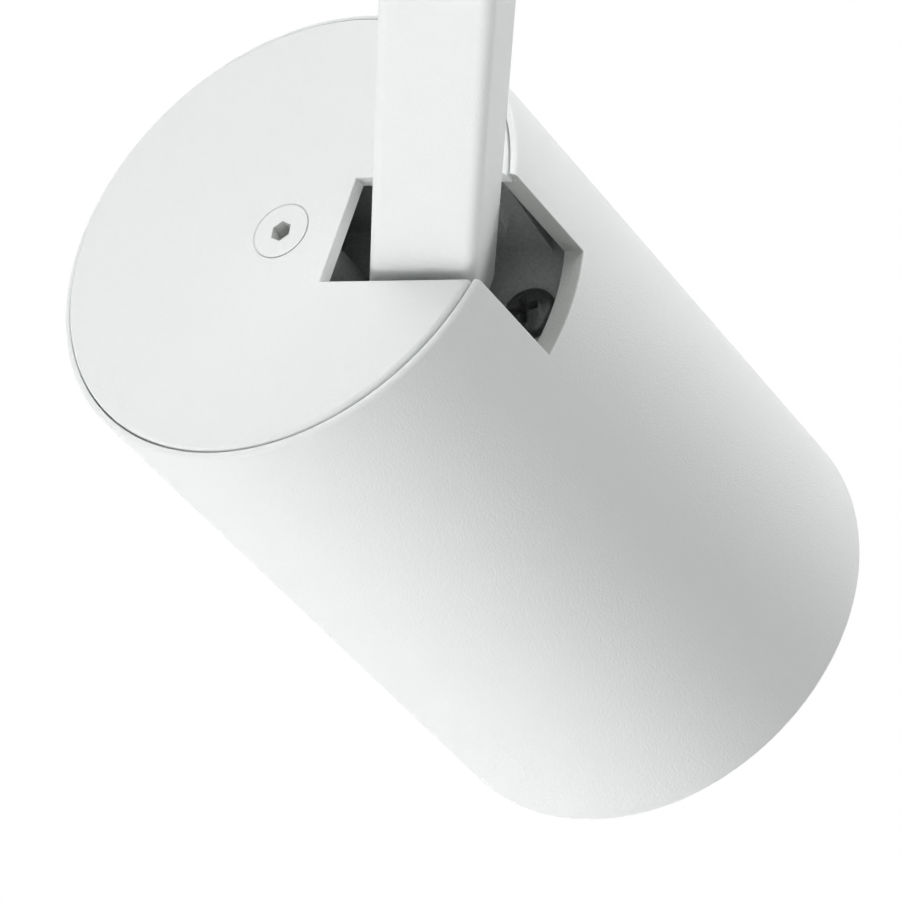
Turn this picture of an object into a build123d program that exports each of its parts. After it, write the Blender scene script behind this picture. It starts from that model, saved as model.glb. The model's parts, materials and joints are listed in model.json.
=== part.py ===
from build123d import *
import os

# Surface mounted ceiling spotlight, in millimetres, +Z up.
# The origin is the centre of the face that lies against the ceiling. The arm hangs down from it
# and turns about Z. A round head hangs on the arm's lower end and tilts about a pin along Y.

# ---- Clearances shared by the whole light ----
RUNNING = 0.05             # radial play of a turning fit, and the gap of a turning face
SEATED = 0.05              # play of a piece that is fixed in its seat
SLIP = 0.3                 # play of a cover, rim or grommet that slips over another piece
PAST = 1.0                 # how far a cutter reaches past the faces that it opens

# ---- Small screws used all over the light ----
SMALL_SCREW_RADIUS = 1.5
SMALL_SCREW_HEAD_RADIUS = 2.9
SMALL_SCREW_HEAD_HEIGHT = 2.0

# ---- Ceiling base ----
BASE_DIAMETER = 110.0      # outside of the round cover
BASE_HEIGHT = 34.0         # ceiling to the underside of the cover
COVER_WALL = 1.5
COVER_EDGE_RADIUS = 3.0
COVER_SCREW_COUNT = 3
COVER_SCREW_RADIUS = 2.0
COVER_SCREW_DROP = 6.0     # ceiling to the cover screws
PLATE_WALL = 1.5
PLATE_RIM_DEPTH = 10.0
FIXING_SPACING = 84.0      # between the two ceiling screws
FIXING_SLOT_LENGTH = 9.0
FIXING_SLOT_WIDTH = 5.0
CABLE_ENTRY_X = 22.0
CABLE_ENTRY_Y = -28.0
CABLE_ENTRY_RADIUS = 4.0   # bore of the entry grommet
GROMMET_WALL = 2.0
GROMMET_LIP = 1.5

# ---- Strap inside the base ----
BRIDGE_SPAN = 62.0
BRIDGE_WIDTH = 26.0
BRIDGE_WALL = 2.5
BRIDGE_FOOT = 12.0
BRIDGE_BEND_RADIUS = 3.0

# ---- Driver and terminals in the base ----
DRIVER_LENGTH = 50.0
DRIVER_WIDTH = 27.0
DRIVER_HEIGHT = 22.0
DRIVER_TO_BRIDGE = 3.0
DRIVER_EAR = 6.0
DRIVER_EAR_WALL = 2.0
DRIVER_CORNER_RADIUS = 2.0
DRIVER_LID_EDGE = 0.6
DRIVER_WIRE_RADIUS = 1.6
DRIVER_WIRE_DEPTH = 6.0
DRIVER_WIRE_PLACE = 15.0   # middle of the driver to each wire port
TERMINAL_WAYS = 3
TERMINAL_PITCH = 8.0
TERMINAL_WIDTH = 17.0
TERMINAL_HEIGHT = 14.0
TERMINAL_X = -18.0
TERMINAL_Y = -28.0
TERMINAL_EDGE = 1.0
TERMINAL_PORT = 4.0        # side of each square wire port
TERMINAL_PORT_DEPTH = 5.5
TERMINAL_PORT_DROP = 8.5   # plate to the middle of the ports
TERMINAL_WELL_RADIUS = 2.0
TERMINAL_WELL_DEPTH = 2.8
TERMINAL_WELL_PLACE = 4.2  # middle of the block to the screw wells
CLAMP_X = 5.0
CLAMP_LENGTH = 22.0
CLAMP_WIDTH = 7.0
CLAMP_HEIGHT = 8.0
CLAMP_CABLE_RADIUS = 3.5

# ---- Turning joint between base and arm ----
STEM_RADIUS = 5.0
STEM_BORE_RADIUS = 3.0     # wire way down the arm
STEM_PROUD = 1.5           # the stem stands this far above its nut
BUSH_WALL = 1.5
BUSH_FLANGE = 2.5          # the flange stands this far outside the bush's barrel
BUSH_FLANGE_HEIGHT = 1.5
TAB_WASHER_RADIUS = 9.0
TAB_WASHER_HEIGHT = 1.0
TAB_WIDTH = 2.0
STOP_PIN_RADIUS = 1.0
STOP_PIN_PLACE = 12.5      # stop pin to the turning axis
STOP_PIN_HEIGHT = 5.0
SPRING_WASHER_RADIUS = 8.0
SPRING_WASHER_HEIGHT = 1.5
PAN_NUT_FLATS = 14.0
PAN_NUT_HEIGHT = 5.0
COLLAR_RADIUS = 11.0
COLLAR_HEIGHT = 3.0
COLLAR_EDGE = 0.8

# ---- Arm ----
PIVOT_DROP = 220.0         # ceiling to the tilt pin
ARM_WIDTH = 14.5           # along X
ARM_DEPTH = 13.0           # along Y
ARM_EDGE_RADIUS = 1.8
ARM_WALL = 1.6
TONGUE_LENGTH = 24.0
NECK_SCREW_RADIUS = 1.5
KNUCKLE_LENGTH = 26.0      # tilt pin to the upper end of the plug
KNUCKLE_PIN_RADIUS = 1.5
KNUCKLE_PIN_RISE = 17.0    # tilt pin to the pin that holds the plug
WIRE_CHANNEL_WIDTH = 6.0
WIRE_CHANNEL_DEPTH = 2.0

# ---- Tilt hinge, in the head's own frame: axis upright, rear face at height 0, slot towards +X ----
REST_TILT = 32.5           # degrees from straight down, as photographed
PIVOT_OFFSET = 17.5        # head's axis to the tilt pin
PIVOT_DEPTH = 11.0         # rear face to the tilt pin
AXLE_RADIUS = 3.0
AXLE_HEAD_RADIUS = 5.0
AXLE_HEAD_HEIGHT = 3.0
AXLE_SOCKET = 4.0
AXLE_NUT_FLATS = 10.0
AXLE_NUT_HEIGHT = 4.0
AXLE_PROUD = 1.0           # the tilt pin stands this far out of its nut
FRICTION_WASHER_RADIUS = 6.5
FRICTION_WASHER_HEIGHT = 2.0
BOSS_RADIUS = 7.5
BOSS_HEIGHT = 1.7

# ---- Head ----
HEAD_DIAMETER = 70.0
HEAD_LENGTH = 104.5
HEAD_WALL = 3.0
HEAD_FRONT_RADIUS = 1.3    # rounding of the front edge
HEAD_LIP = 0.9             # housing's wall round the cap
HEAD_RIM_RADIUS = 0.6      # rounding of the rear edge
CAP_THICKNESS = 2.0
CAP_EDGE_RADIUS = 0.8
CAP_SEAM = 0.1
SLOT_SIDE_GAP = 1.6        # arm to each side of the slot
SLOT_END_GAP = 1.45        # arm to the slot's inner end when the head points straight down
SLOT_FLOOR_GAP = 0.95      # arm to the slot's lower end when the head is level
SLOT_EDGE_RADIUS = 0.3     # the paint rounds the slot's edges this much
CAP_SCREW_RADIUS = 2.0
CAP_SCREW_HEAD_RADIUS = 4.15
CAP_SCREW_LENGTH = 12.0
CAP_SCREW_SOCKET = 2.5
CAP_SCREW_GAP = 0.1
CAP_PEG_RADIUS = 2.0
CAP_PEG_LENGTH = 4.0
CAP_PEG_X = -8.0

# ---- Casting in the head ----
CRADLE_WALL = 2.5
CRADLE_TOP_GAP = 0.3       # rear cap to the casting's walls
POCKET_DROP = 3.1          # slot's lower end to the pocket's floor
POCKET_INNER_END = -11.5
POCKET_CORNER_RADIUS = 2.5
STEP_END = 4.0             # the shallow inner floor ends here
STEP_HEIGHT = 5.6
CRADLE_FLANGE = 4.0
CRADLE_TOP_RADIUS = 30.65  # the walls taper with the mould from here
CRADLE_FLOOR_RADIUS = 28.65
COLUMN_RADIUS = 3.8
CRADLE_SCREW_COUNT = 3
CRADLE_SCREW_PLACE = 26.5  # head's axis to the casting's screws
CRADLE_SCREW_RADIUS = 2.0
CRADLE_SCREW_HEAD_RADIUS = 4.05
CRADLE_SCREW_HEAD_HEIGHT = 2.0
CRADLE_SCREW_LENGTH = 12.0
GUSSET_WALL = 2.5
GUSSET_REACH = 9.0
GUSSET_RISE = 13.0
WIRE_HOLE_X = -8.0
WIRE_HOLE_RADIUS = 2.0

# ---- Heat sink ----
SINK_LENGTH = 34.0
SINK_BASE = 6.0
SINK_CORE_RADIUS = 7.0
SINK_FINS = 18
SINK_FIN_WALL = 1.6
SINK_PILLAR_RADIUS = 3.6
SINK_WIRE_X = -17.0

# ---- Light source ----
PAD_THICKNESS = 0.3
BOARD_SIDE = 20.0
BOARD_THICKNESS = 1.5
EMITTER_RADIUS = 6.0
EMITTER_THICKNESS = 0.5
HOLDER_RADIUS = 22.0
HOLDER_HEIGHT = 5.5
HOLDER_OPENING = 9.5
HOLDER_EDGE = 1.0
HOLDER_SCREW_PLACE = 17.5
HOLDER_SCREW_RADIUS = 1.5
HOLDER_SCREW_LENGTH = 6.0

# ---- Front of the head ----
MID_WALL = 4.2             # housing's wall round the reflector
FRONT_WALL = 2.7           # housing's wall round the glare ring
RECESS_DEPTH = 18.0        # front edge back to the glass
GLASS_THICKNESS = 2.0
GASKET_THICKNESS = 1.2
GASKET_WIDTH = 2.2
REFLECTOR_WALL = 0.8
REFLECTOR_FLANGE = 1.0
REFLECTOR_THROAT = 8.3
REFLECTOR_MOUTH = 28.0
REFLECTOR_BANDS = 6
BAFFLE_STEPS = 6
BAFFLE_INNER_RADIUS = 26.5
BAFFLE_FRONT_RADIUS = 30.6
BAFFLE_SET_BACK = 0.6      # front edge of the housing to the glare ring

# ---- Sizes that follow ----
BASE_RADIUS = BASE_DIAMETER / 2
COVER_INSIDE = BASE_RADIUS - COVER_WALL
PLATE_RADIUS = COVER_INSIDE - SLIP
PLATE_BITE = PLATE_WALL - SEATED   # how far a small screw goes into the ceiling plate
WEB_LOW = -BASE_HEIGHT + COVER_WALL + SLIP
WEB_TOP = WEB_LOW + BRIDGE_WALL
BUSH_BORE = STEM_RADIUS + RUNNING
BUSH_RADIUS = BUSH_BORE + BUSH_WALL
BUSH_TOP = WEB_TOP + BUSH_FLANGE_HEIGHT
TAB_WASHER_LOW = BUSH_TOP + RUNNING
SPRING_WASHER_LOW = TAB_WASHER_LOW + TAB_WASHER_HEIGHT
PAN_NUT_LOW = SPRING_WASHER_LOW + SPRING_WASHER_HEIGHT
STEM_TOP = PAN_NUT_LOW + PAN_NUT_HEIGHT + STEM_PROUD
COLLAR_TOP = -BASE_HEIGHT - RUNNING
TUBE_TOP = COLLAR_TOP - COLLAR_HEIGHT
TUBE_INSIDE_X = ARM_WIDTH / 2 - ARM_WALL
TUBE_INSIDE_Y = ARM_DEPTH / 2 - ARM_WALL

HEAD_RADIUS = HEAD_DIAMETER / 2
REAR_BORE = HEAD_RADIUS - HEAD_WALL
CAP_SEAT_RADIUS = HEAD_RADIUS - HEAD_LIP
CAP_RADIUS = CAP_SEAT_RADIUS - CAP_SEAM
SLOT_HALF = ARM_DEPTH / 2 + SLOT_SIDE_GAP
SLOT_START = PIVOT_OFFSET - ARM_WIDTH / 2 - SLOT_END_GAP
SLOT_DEPTH = PIVOT_DEPTH + ARM_WIDTH / 2 + SLOT_FLOOR_GAP
BOSS_FACE = ARM_DEPTH / 2 + RUNNING + FRICTION_WASHER_HEIGHT
POCKET_HALF = BOSS_FACE + BOSS_HEIGHT
CRADLE_HALF = POCKET_HALF + CRADLE_WALL
CRADLE_TOP = -CAP_THICKNESS - CRADLE_TOP_GAP
POCKET_FLOOR = -SLOT_DEPTH - POCKET_DROP
STEP_FLOOR = POCKET_FLOOR + STEP_HEIGHT
SINK_TOP = POCKET_FLOOR - CRADLE_FLANGE
SINK_FACE = SINK_TOP - SINK_LENGTH
INNER_FIT = REAR_BORE - SLIP
MID_BORE = HEAD_RADIUS - MID_WALL
FRONT_BORE = HEAD_RADIUS - FRONT_WALL
GLASS_FRONT = -HEAD_LENGTH + RECESS_DEPTH
GLASS_BACK = GLASS_FRONT + GLASS_THICKNESS
FLANGE_FRONT = GLASS_BACK + GASKET_THICKNESS
FLANGE_SEAT = FLANGE_FRONT + REFLECTOR_FLANGE
FRONT_FIT = FRONT_BORE - SLIP
HOLDER_FRONT = SINK_FACE - HOLDER_HEIGHT
HOLDER_SCREW_SEAT = HOLDER_FRONT + SMALL_SCREW_HEAD_HEIGHT + SLIP


# ---- Shapes used again and again ----
def disc(radius, low, high, x=0.0, y=0.0):
    """Upright round bar between two heights."""
    return Pos(x, y, (low + high) / 2) * Cylinder(radius, high - low)


def block(x_span, y_span, z_span):
    """Rectangular bar between two values on each axis."""
    spans = (x_span, y_span, z_span)
    centre = [(low + high) / 2 for low, high in spans]
    return Pos(*centre) * Box(*[high - low for low, high in spans])


def turned(*corners):
    """Solid turned about Z from its (radius, height) corners."""
    outline = Polyline(*[(radius, 0, height) for radius, height in corners], close=True)
    return revolve(make_face(outline), Axis.Z)


def cross_bar(radius, y_from, y_to, x=0.0, z=0.0):
    """Round bar along Y between two values of Y."""
    return Pos(x, (y_from + y_to) / 2, z) * Rot(90, 0, 0) * Cylinder(radius, y_to - y_from)


def rim(solid, radius, height):
    """The circular edges that have one radius at one height."""
    near = 0.01
    return [
        edge
        for edge in solid.edges().filter_by(GeomType.CIRCLE)
        if abs(edge.radius - radius) < near and abs(edge.arc_center.Z - height) < near
    ]


def spokes(count, radius, first=0.0):
    """Places evenly spaced on a circle, each turned to face outwards."""
    for index in range(count):
        yield Rot(0, 0, first + 360 * index / count) * Pos(radius, 0, 0)


def hexagon(flats):
    """Flat hexagon of one width across its flats."""
    return RegularPolygon(flats / 2, 6, major_radius=False)


def cross_recess(head_radius, head_height):
    """Cross-shaped driver recess in the top of a screw head whose seat is at height 0."""
    reach, width, depth = 0.55 * head_radius, 0.2 * head_radius, 0.65 * head_height
    wing = extrude(Pos(0, 0, head_height) * Rectangle(2 * reach, width), -depth, taper=12)
    return wing + Rot(0, 0, 90) * wing


def pan_head_screw(shank_radius, shank_length, head_radius, head_height):
    """Screw with a bevelled head, shank down, seat of the head at height 0."""
    head = disc(head_radius, 0, head_height)
    head = chamfer(rim(head, head_radius, head_height), 0.4 * head_height)
    return head + disc(shank_radius, -shank_length, 0)


def grub_screw(radius, length):
    """Headless screw along Z with a hexagon socket in its upper end at height 0."""
    socket = extrude(hexagon(radius), -0.5 * length)
    return disc(radius, -length, 0) - socket


def save(name, solid):
    export_step(solid, f"parts/{name}.step")


# ---- Ceiling base ----
def ceiling_screw_slots():
    """The two slots for the ceiling screws, as a cutter."""
    slot = SlotOverall(FIXING_SLOT_LENGTH, FIXING_SLOT_WIDTH)
    places = Pos(-FIXING_SPACING / 2, 0, 0) * slot + Pos(FIXING_SPACING / 2, 0, 0) * slot
    return extrude(places, -2 * PLATE_WALL)


def bridge_screw_places():
    """Middle of each foot of the strap."""
    x = BRIDGE_SPAN / 2 - BRIDGE_FOOT / 2
    return [(-x, 0), (x, 0)]


def driver_box():
    """Plan of the driver: its X and Y spans."""
    near = BRIDGE_WIDTH / 2 + DRIVER_TO_BRIDGE
    return (-DRIVER_LENGTH / 2, DRIVER_LENGTH / 2), (near, near + DRIVER_WIDTH)


def driver_screw_places():
    """Middle of each ear of the driver."""
    x = DRIVER_LENGTH / 2 + DRIVER_EAR / 2
    y = sum(driver_box()[1]) / 2
    return [(-x, y), (x, y)]


def terminal_screw_places():
    """Between the ways of the terminal block."""
    return [(TERMINAL_X + side * TERMINAL_PITCH / 2, TERMINAL_Y) for side in (-1, 1)]


def clamp_screw_places():
    """Both ends of the cable clamp."""
    reach = CLAMP_LENGTH / 2 - CLAMP_WIDTH / 2
    return [(CLAMP_X, CABLE_ENTRY_Y + side * reach) for side in (-1, 1)]


def plate_screw_hole(x, y):
    """Cutter for one small screw's hole in the ceiling plate."""
    return disc(SMALL_SCREW_RADIUS + SEATED, -PLATE_WALL - PAST, PAST, x, y)


def cover_screw_places():
    """Where the cover screws go in, each looking out along its own radius."""
    for spoke in spokes(COVER_SCREW_COUNT, BASE_RADIUS, first=30):
        yield Pos(0, 0, -COVER_SCREW_DROP) * spoke * Rot(0, 90, 0)


def ceiling_plate():
    """Pressed dish that is screwed to the ceiling."""
    inner = PLATE_RADIUS - PLATE_WALL
    dish = turned(
        (0, 0),
        (PLATE_RADIUS, 0),
        (PLATE_RADIUS, -PLATE_RIM_DEPTH),
        (inner, -PLATE_RIM_DEPTH),
        (inner, -PLATE_WALL),
        (0, -PLATE_WALL),
    )
    dish = chamfer(rim(dish, PLATE_RADIUS, 0), 0.6 * PLATE_WALL)
    dish = chamfer(rim(dish, inner, -PLATE_WALL), 0.5 * PLATE_WALL)
    dish -= ceiling_screw_slots()
    entry = CABLE_ENTRY_RADIUS + GROMMET_WALL
    dish -= disc(entry, -PLATE_WALL - PAST, PAST, CABLE_ENTRY_X, CABLE_ENTRY_Y)
    small = bridge_screw_places() + driver_screw_places()
    small += terminal_screw_places() + clamp_screw_places()
    for x, y in small:
        dish -= plate_screw_hole(x, y)
    for place in cover_screw_places():
        dish -= place * disc(COVER_SCREW_RADIUS + SEATED, -2 * (BASE_RADIUS - inner), 0)
    return dish


def plate_grommet():
    """Rubber bush with a lip under the plate, flush with its back."""
    outer = CABLE_ENTRY_RADIUS + GROMMET_WALL
    low = -PLATE_WALL - GROMMET_LIP
    bush = turned(
        (CABLE_ENTRY_RADIUS, -SEATED),
        (outer - SEATED, -SEATED),
        (outer - SEATED, -PLATE_WALL),
        (outer + GROMMET_LIP, -PLATE_WALL),
        (outer + GROMMET_LIP, low),
        (CABLE_ENTRY_RADIUS, low - GROMMET_LIP),
    )
    return Pos(CABLE_ENTRY_X, CABLE_ENTRY_Y, 0) * bush


def pan_bridge():
    """Bent strap: feet on the ceiling plate, web over the floor of the cover."""
    half = BRIDGE_SPAN / 2
    top = -PLATE_WALL
    inside = half - BRIDGE_WALL
    foot_gap = half - BRIDGE_FOOT
    wide = (-BRIDGE_WIDTH, BRIDGE_WIDTH)
    outer = block((-half, half), (-BRIDGE_WIDTH / 2, BRIDGE_WIDTH / 2), (WEB_LOW, top))
    strap = fillet(outer.edges().filter_by(Axis.Y), BRIDGE_BEND_RADIUS)
    strap -= block((-inside, inside), wide, (WEB_TOP, top - BRIDGE_WALL))
    strap -= block((-foot_gap, foot_gap), wide, (WEB_TOP, top + PAST))
    strap -= disc(BUSH_RADIUS + SEATED, WEB_LOW - PAST, WEB_TOP + PAST)
    strap -= disc(STOP_PIN_RADIUS + SEATED, WEB_LOW - PAST, WEB_TOP + PAST, -STOP_PIN_PLACE)
    for x, y in bridge_screw_places():
        strap -= disc(SMALL_SCREW_RADIUS + SEATED, -PLATE_WALL - BRIDGE_WALL - PAST, 0, x, y)
    return strap


def small_screws(places, seat):
    """Small screws driven upwards into the ceiling plate from one seat height."""
    length = PLATE_BITE - PLATE_WALL - seat
    screw = pan_head_screw(SMALL_SCREW_RADIUS, length, SMALL_SCREW_HEAD_RADIUS, SMALL_SCREW_HEAD_HEIGHT)
    return Compound([Pos(x, y, seat) * Rot(180, 0, 0) * screw for x, y in places])


def pan_bush():
    """Flanged bearing that hangs in the strap and reaches through the cover."""
    low = -BASE_HEIGHT
    return turned(
        (BUSH_BORE, low),
        (BUSH_RADIUS, low),
        (BUSH_RADIUS, WEB_TOP),
        (BUSH_RADIUS + BUSH_FLANGE, WEB_TOP),
        (BUSH_RADIUS + BUSH_FLANGE, BUSH_TOP),
        (BUSH_BORE, BUSH_TOP),
    )


def stop_pin():
    """Pin that ends the arm's turn, standing on the strap."""
    pin = disc(STOP_PIN_RADIUS, WEB_LOW, WEB_LOW + STOP_PIN_HEIGHT, -STOP_PIN_PLACE)
    return chamfer(pin.edges().sort_by(Axis.Z)[-1], 0.3 * STOP_PIN_RADIUS)


def led_driver():
    """Driver case with bevelled lid, rounded corners, two ears and two wire ports."""
    x_span, y_span = driver_box()
    top = -PLATE_WALL
    low = top - DRIVER_HEIGHT
    case = block(x_span, y_span, (low, top))
    case = fillet(case.edges().filter_by(Axis.Z), DRIVER_CORNER_RADIUS)
    case = chamfer(case.faces().sort_by(Axis.Z)[0].edges(), DRIVER_LID_EDGE)
    for x, y in driver_screw_places():
        ear_x = (x - DRIVER_EAR / 2, x + DRIVER_EAR / 2)
        case += block(ear_x, (y - DRIVER_EAR, y + DRIVER_EAR), (top - DRIVER_EAR_WALL, top))
        case -= disc(SMALL_SCREW_RADIUS + SEATED, top - DRIVER_EAR_WALL - PAST, 0, x, y)
    port_y = (y_span[0] - PAST, y_span[0] + DRIVER_WIRE_DEPTH)
    for x in (-DRIVER_WIRE_PLACE, DRIVER_WIRE_PLACE):
        case -= cross_bar(DRIVER_WIRE_RADIUS, *port_y, x, (low + top) / 2)
    return case


def terminal_block():
    """Moulded block with a square wire port and a round screw well at both ends of each way."""
    half_x = TERMINAL_WAYS * TERMINAL_PITCH / 2
    half_y = TERMINAL_WIDTH / 2
    low = -TERMINAL_HEIGHT
    body = block((-half_x, half_x), (-half_y, half_y), (low, 0))
    body = chamfer(body.edges().filter_by(Axis.Y).group_by(Axis.Z)[0], TERMINAL_EDGE)
    port_z = (-TERMINAL_PORT_DROP - TERMINAL_PORT / 2, -TERMINAL_PORT_DROP + TERMINAL_PORT / 2)
    for way in range(TERMINAL_WAYS):
        x = (way + 0.5) * TERMINAL_PITCH - half_x
        port_x = (x - TERMINAL_PORT / 2, x + TERMINAL_PORT / 2)
        for side in (-1, 1):
            port_y = sorted((side * (half_y + PAST), side * (half_y - TERMINAL_PORT_DEPTH)))
            body -= block(port_x, port_y, port_z)
            well_y = side * TERMINAL_WELL_PLACE
            body -= disc(TERMINAL_WELL_RADIUS, low - PAST, low + TERMINAL_WELL_DEPTH, x, well_y)
    body = Pos(TERMINAL_X, TERMINAL_Y, -PLATE_WALL) * body
    seat = -PLATE_WALL - TERMINAL_HEIGHT / 2
    for x, y in terminal_screw_places():
        body -= disc(SMALL_SCREW_HEAD_RADIUS + SLIP, seat - TERMINAL_HEIGHT, seat, x, y)
        body -= disc(SMALL_SCREW_RADIUS + SEATED, seat - PAST, 0, x, y)
    return body


def cable_clamp():
    """Bowed bar that holds the mains cable to the ceiling plate."""
    top = -PLATE_WALL
    low = top - CLAMP_HEIGHT
    y = CABLE_ENTRY_Y
    x_span = (CLAMP_X - CLAMP_WIDTH / 2, CLAMP_X + CLAMP_WIDTH / 2)
    bar = block(x_span, (y - CLAMP_LENGTH / 2, y + CLAMP_LENGTH / 2), (low, top))
    bar = fillet(bar.edges().filter_by(Axis.X).group_by(Axis.Z)[0], 0.3 * CLAMP_HEIGHT)
    bar -= Pos(CLAMP_X, y, top) * Rot(0, 90, 0) * Cylinder(CLAMP_CABLE_RADIUS, 2 * CLAMP_WIDTH)
    for screw_x, screw_y in clamp_screw_places():
        bar -= disc(SMALL_SCREW_RADIUS + SEATED, low - PAST, 0, screw_x, screw_y)
    return bar


def base_cover():
    """Round cup over the base, open towards the ceiling."""
    low = -BASE_HEIGHT
    cup = turned(
        (BUSH_RADIUS + SEATED, low),
        (BASE_RADIUS, low),
        (BASE_RADIUS, -SLIP),
        (COVER_INSIDE, -SLIP),
        (COVER_INSIDE, low + COVER_WALL),
        (BUSH_RADIUS + SEATED, low + COVER_WALL),
    )
    cup = fillet(rim(cup, BASE_RADIUS, low), COVER_EDGE_RADIUS)
    cup = chamfer(rim(cup, COVER_INSIDE, low + COVER_WALL), COVER_WALL)
    for place in cover_screw_places():
        cup -= place * disc(COVER_SCREW_RADIUS + SEATED, -2 * COVER_WALL, COVER_WALL)
    return cup


def cover_screws():
    """Grub screws through the cover into the plate's rim, just below the cover's surface."""
    inner = PLATE_RADIUS - PLATE_WALL
    screw = grub_screw(COVER_SCREW_RADIUS, BASE_RADIUS - inner)
    return Compound([place * Pos(0, 0, -SLIP) * screw for place in cover_screw_places()])


# ---- Arm ----
def arm_section(half_x, half_y, edge_radius):
    """Rounded rectangle of the arm, centred on the turning axis."""
    return RectangleRounded(2 * half_x, 2 * half_y, edge_radius)


def arm_end(radius):
    """Everything that an arm end rounded about the tilt pin may fill, as a solid."""
    above = block((-radius, radius), (-ARM_DEPTH, ARM_DEPTH), (-PIVOT_DROP, 0))
    return above + cross_bar(radius, -ARM_DEPTH, ARM_DEPTH, 0, -PIVOT_DROP)


def tube_fill(low, high, gap=0.0):
    """Bar that fills the inside of the arm tube between two heights."""
    inner_edge = max(ARM_EDGE_RADIUS - ARM_WALL, 0.2 * ARM_WALL)
    section = arm_section(TUBE_INSIDE_X - gap, TUBE_INSIDE_Y - gap, inner_edge)
    return extrude(Pos(0, 0, low) * section, high - low)


def neck_screw_heights():
    """Heights of the two screws that hold the tube on the neck's tongue."""
    return [TUBE_TOP - TONGUE_LENGTH / 3, TUBE_TOP - 2 * TONGUE_LENGTH / 3]


def arm_tube():
    """Rectangular tube whose lower end is rounded about the tilt pin."""
    low = -PIVOT_DROP - ARM_WIDTH / 2
    section = arm_section(ARM_WIDTH / 2, ARM_DEPTH / 2, ARM_EDGE_RADIUS)
    bar = extrude(Pos(0, 0, low) * section, TUBE_TOP - low) & arm_end(ARM_WIDTH / 2)
    tube = bar - tube_fill(low - PAST, TUBE_TOP + PAST)
    tube -= cross_bar(AXLE_RADIUS + SLIP, -ARM_DEPTH, ARM_DEPTH, 0, -PIVOT_DROP)
    for height in neck_screw_heights():
        tube -= cross_bar(NECK_SCREW_RADIUS + SEATED, 0, ARM_DEPTH, 0, height)
    tube -= cross_bar(KNUCKLE_PIN_RADIUS + SEATED, 0, ARM_DEPTH, 0, -PIVOT_DROP + KNUCKLE_PIN_RISE)
    return tube


def arm_neck():
    """Turned collar with the hollow stem above it and the tongue for the tube below it."""
    collar = disc(COLLAR_RADIUS, TUBE_TOP, COLLAR_TOP)
    collar = chamfer(rim(collar, COLLAR_RADIUS, TUBE_TOP), COLLAR_EDGE)
    neck = collar + disc(STEM_RADIUS, COLLAR_TOP, STEM_TOP)
    neck += tube_fill(TUBE_TOP - TONGUE_LENGTH, TUBE_TOP, gap=SEATED)
    neck -= disc(STEM_BORE_RADIUS, TUBE_TOP - TONGUE_LENGTH - PAST, STEM_TOP + PAST)
    for height in neck_screw_heights():
        neck -= cross_bar(NECK_SCREW_RADIUS + SEATED, 0, ARM_DEPTH, 0, height)
    return neck


def neck_screws():
    """Grub screws in the back of the arm, flush with it and clear of the wire way."""
    length = ARM_DEPTH / 2 - STEM_BORE_RADIUS - SLIP
    screw = Rot(-90, 0, 0) * grub_screw(NECK_SCREW_RADIUS, length)
    return Compound([Pos(0, ARM_DEPTH / 2, height) * screw for height in neck_screw_heights()])


def pan_tab_washer():
    """Washer on the stem with a tab that meets the stop pin."""
    low, high = TAB_WASHER_LOW, TAB_WASHER_LOW + TAB_WASHER_HEIGHT
    reach = STOP_PIN_PLACE + STOP_PIN_RADIUS
    washer = disc(TAB_WASHER_RADIUS, low, high)
    washer += block((0, reach), (-TAB_WIDTH / 2, TAB_WIDTH / 2), (low, high))
    return washer - disc(STEM_RADIUS + SEATED, low - PAST, high + PAST)


def spring_washer():
    """Wave washer pressed flat under the nut."""
    low, high = SPRING_WASHER_LOW, SPRING_WASHER_LOW + SPRING_WASHER_HEIGHT
    return disc(SPRING_WASHER_RADIUS, low, high) - disc(STEM_RADIUS + SEATED, low - PAST, high + PAST)


def pan_nut():
    """Hexagon nut that carries the arm."""
    plan = Pos(0, 0, PAN_NUT_LOW) * hexagon(PAN_NUT_FLATS)
    return extrude(plan, PAN_NUT_HEIGHT) - disc(STEM_RADIUS + SEATED, PAN_NUT_LOW - PAST, STEM_TOP)


def tilt_knuckle():
    """Plug in the tube's lower end with the bearing for the tilt pin and a channel for the wires."""
    low, high = -PIVOT_DROP - ARM_WIDTH / 2, -PIVOT_DROP + KNUCKLE_LENGTH
    plug = tube_fill(low, high, gap=SEATED) & arm_end(ARM_WIDTH / 2)
    plug -= cross_bar(AXLE_RADIUS + RUNNING, -ARM_DEPTH, ARM_DEPTH, 0, -PIVOT_DROP)
    plug -= cross_bar(KNUCKLE_PIN_RADIUS + SEATED, 0, ARM_DEPTH, 0, -PIVOT_DROP + KNUCKLE_PIN_RISE)
    channel_x = (-ARM_WIDTH, -TUBE_INSIDE_X + WIRE_CHANNEL_DEPTH)
    channel_y = (-WIRE_CHANNEL_WIDTH / 2, WIRE_CHANNEL_WIDTH / 2)
    return plug - block(channel_x, channel_y, (low - PAST, high + PAST))


def knuckle_pin():
    """Pin from the back of the arm into the plug."""
    return cross_bar(KNUCKLE_PIN_RADIUS, SEATED, ARM_DEPTH / 2, 0, -PIVOT_DROP + KNUCKLE_PIN_RISE)


# ---- Head, modelled upright in its own frame ----
def hung(solid):
    """Move a piece from the head's own frame to where it hangs on the arm at rest."""
    return Pos(0, 0, -PIVOT_DROP) * Rot(0, -REST_TILT, 0) * Pos(-PIVOT_OFFSET, 0, PIVOT_DEPTH) * solid


def arm_slot(low):
    """Cutter for the slot that the arm swings in, down to one height."""
    return block((SLOT_START, HEAD_RADIUS + PAST), (-SLOT_HALF, SLOT_HALF), (low, PAST))


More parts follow.
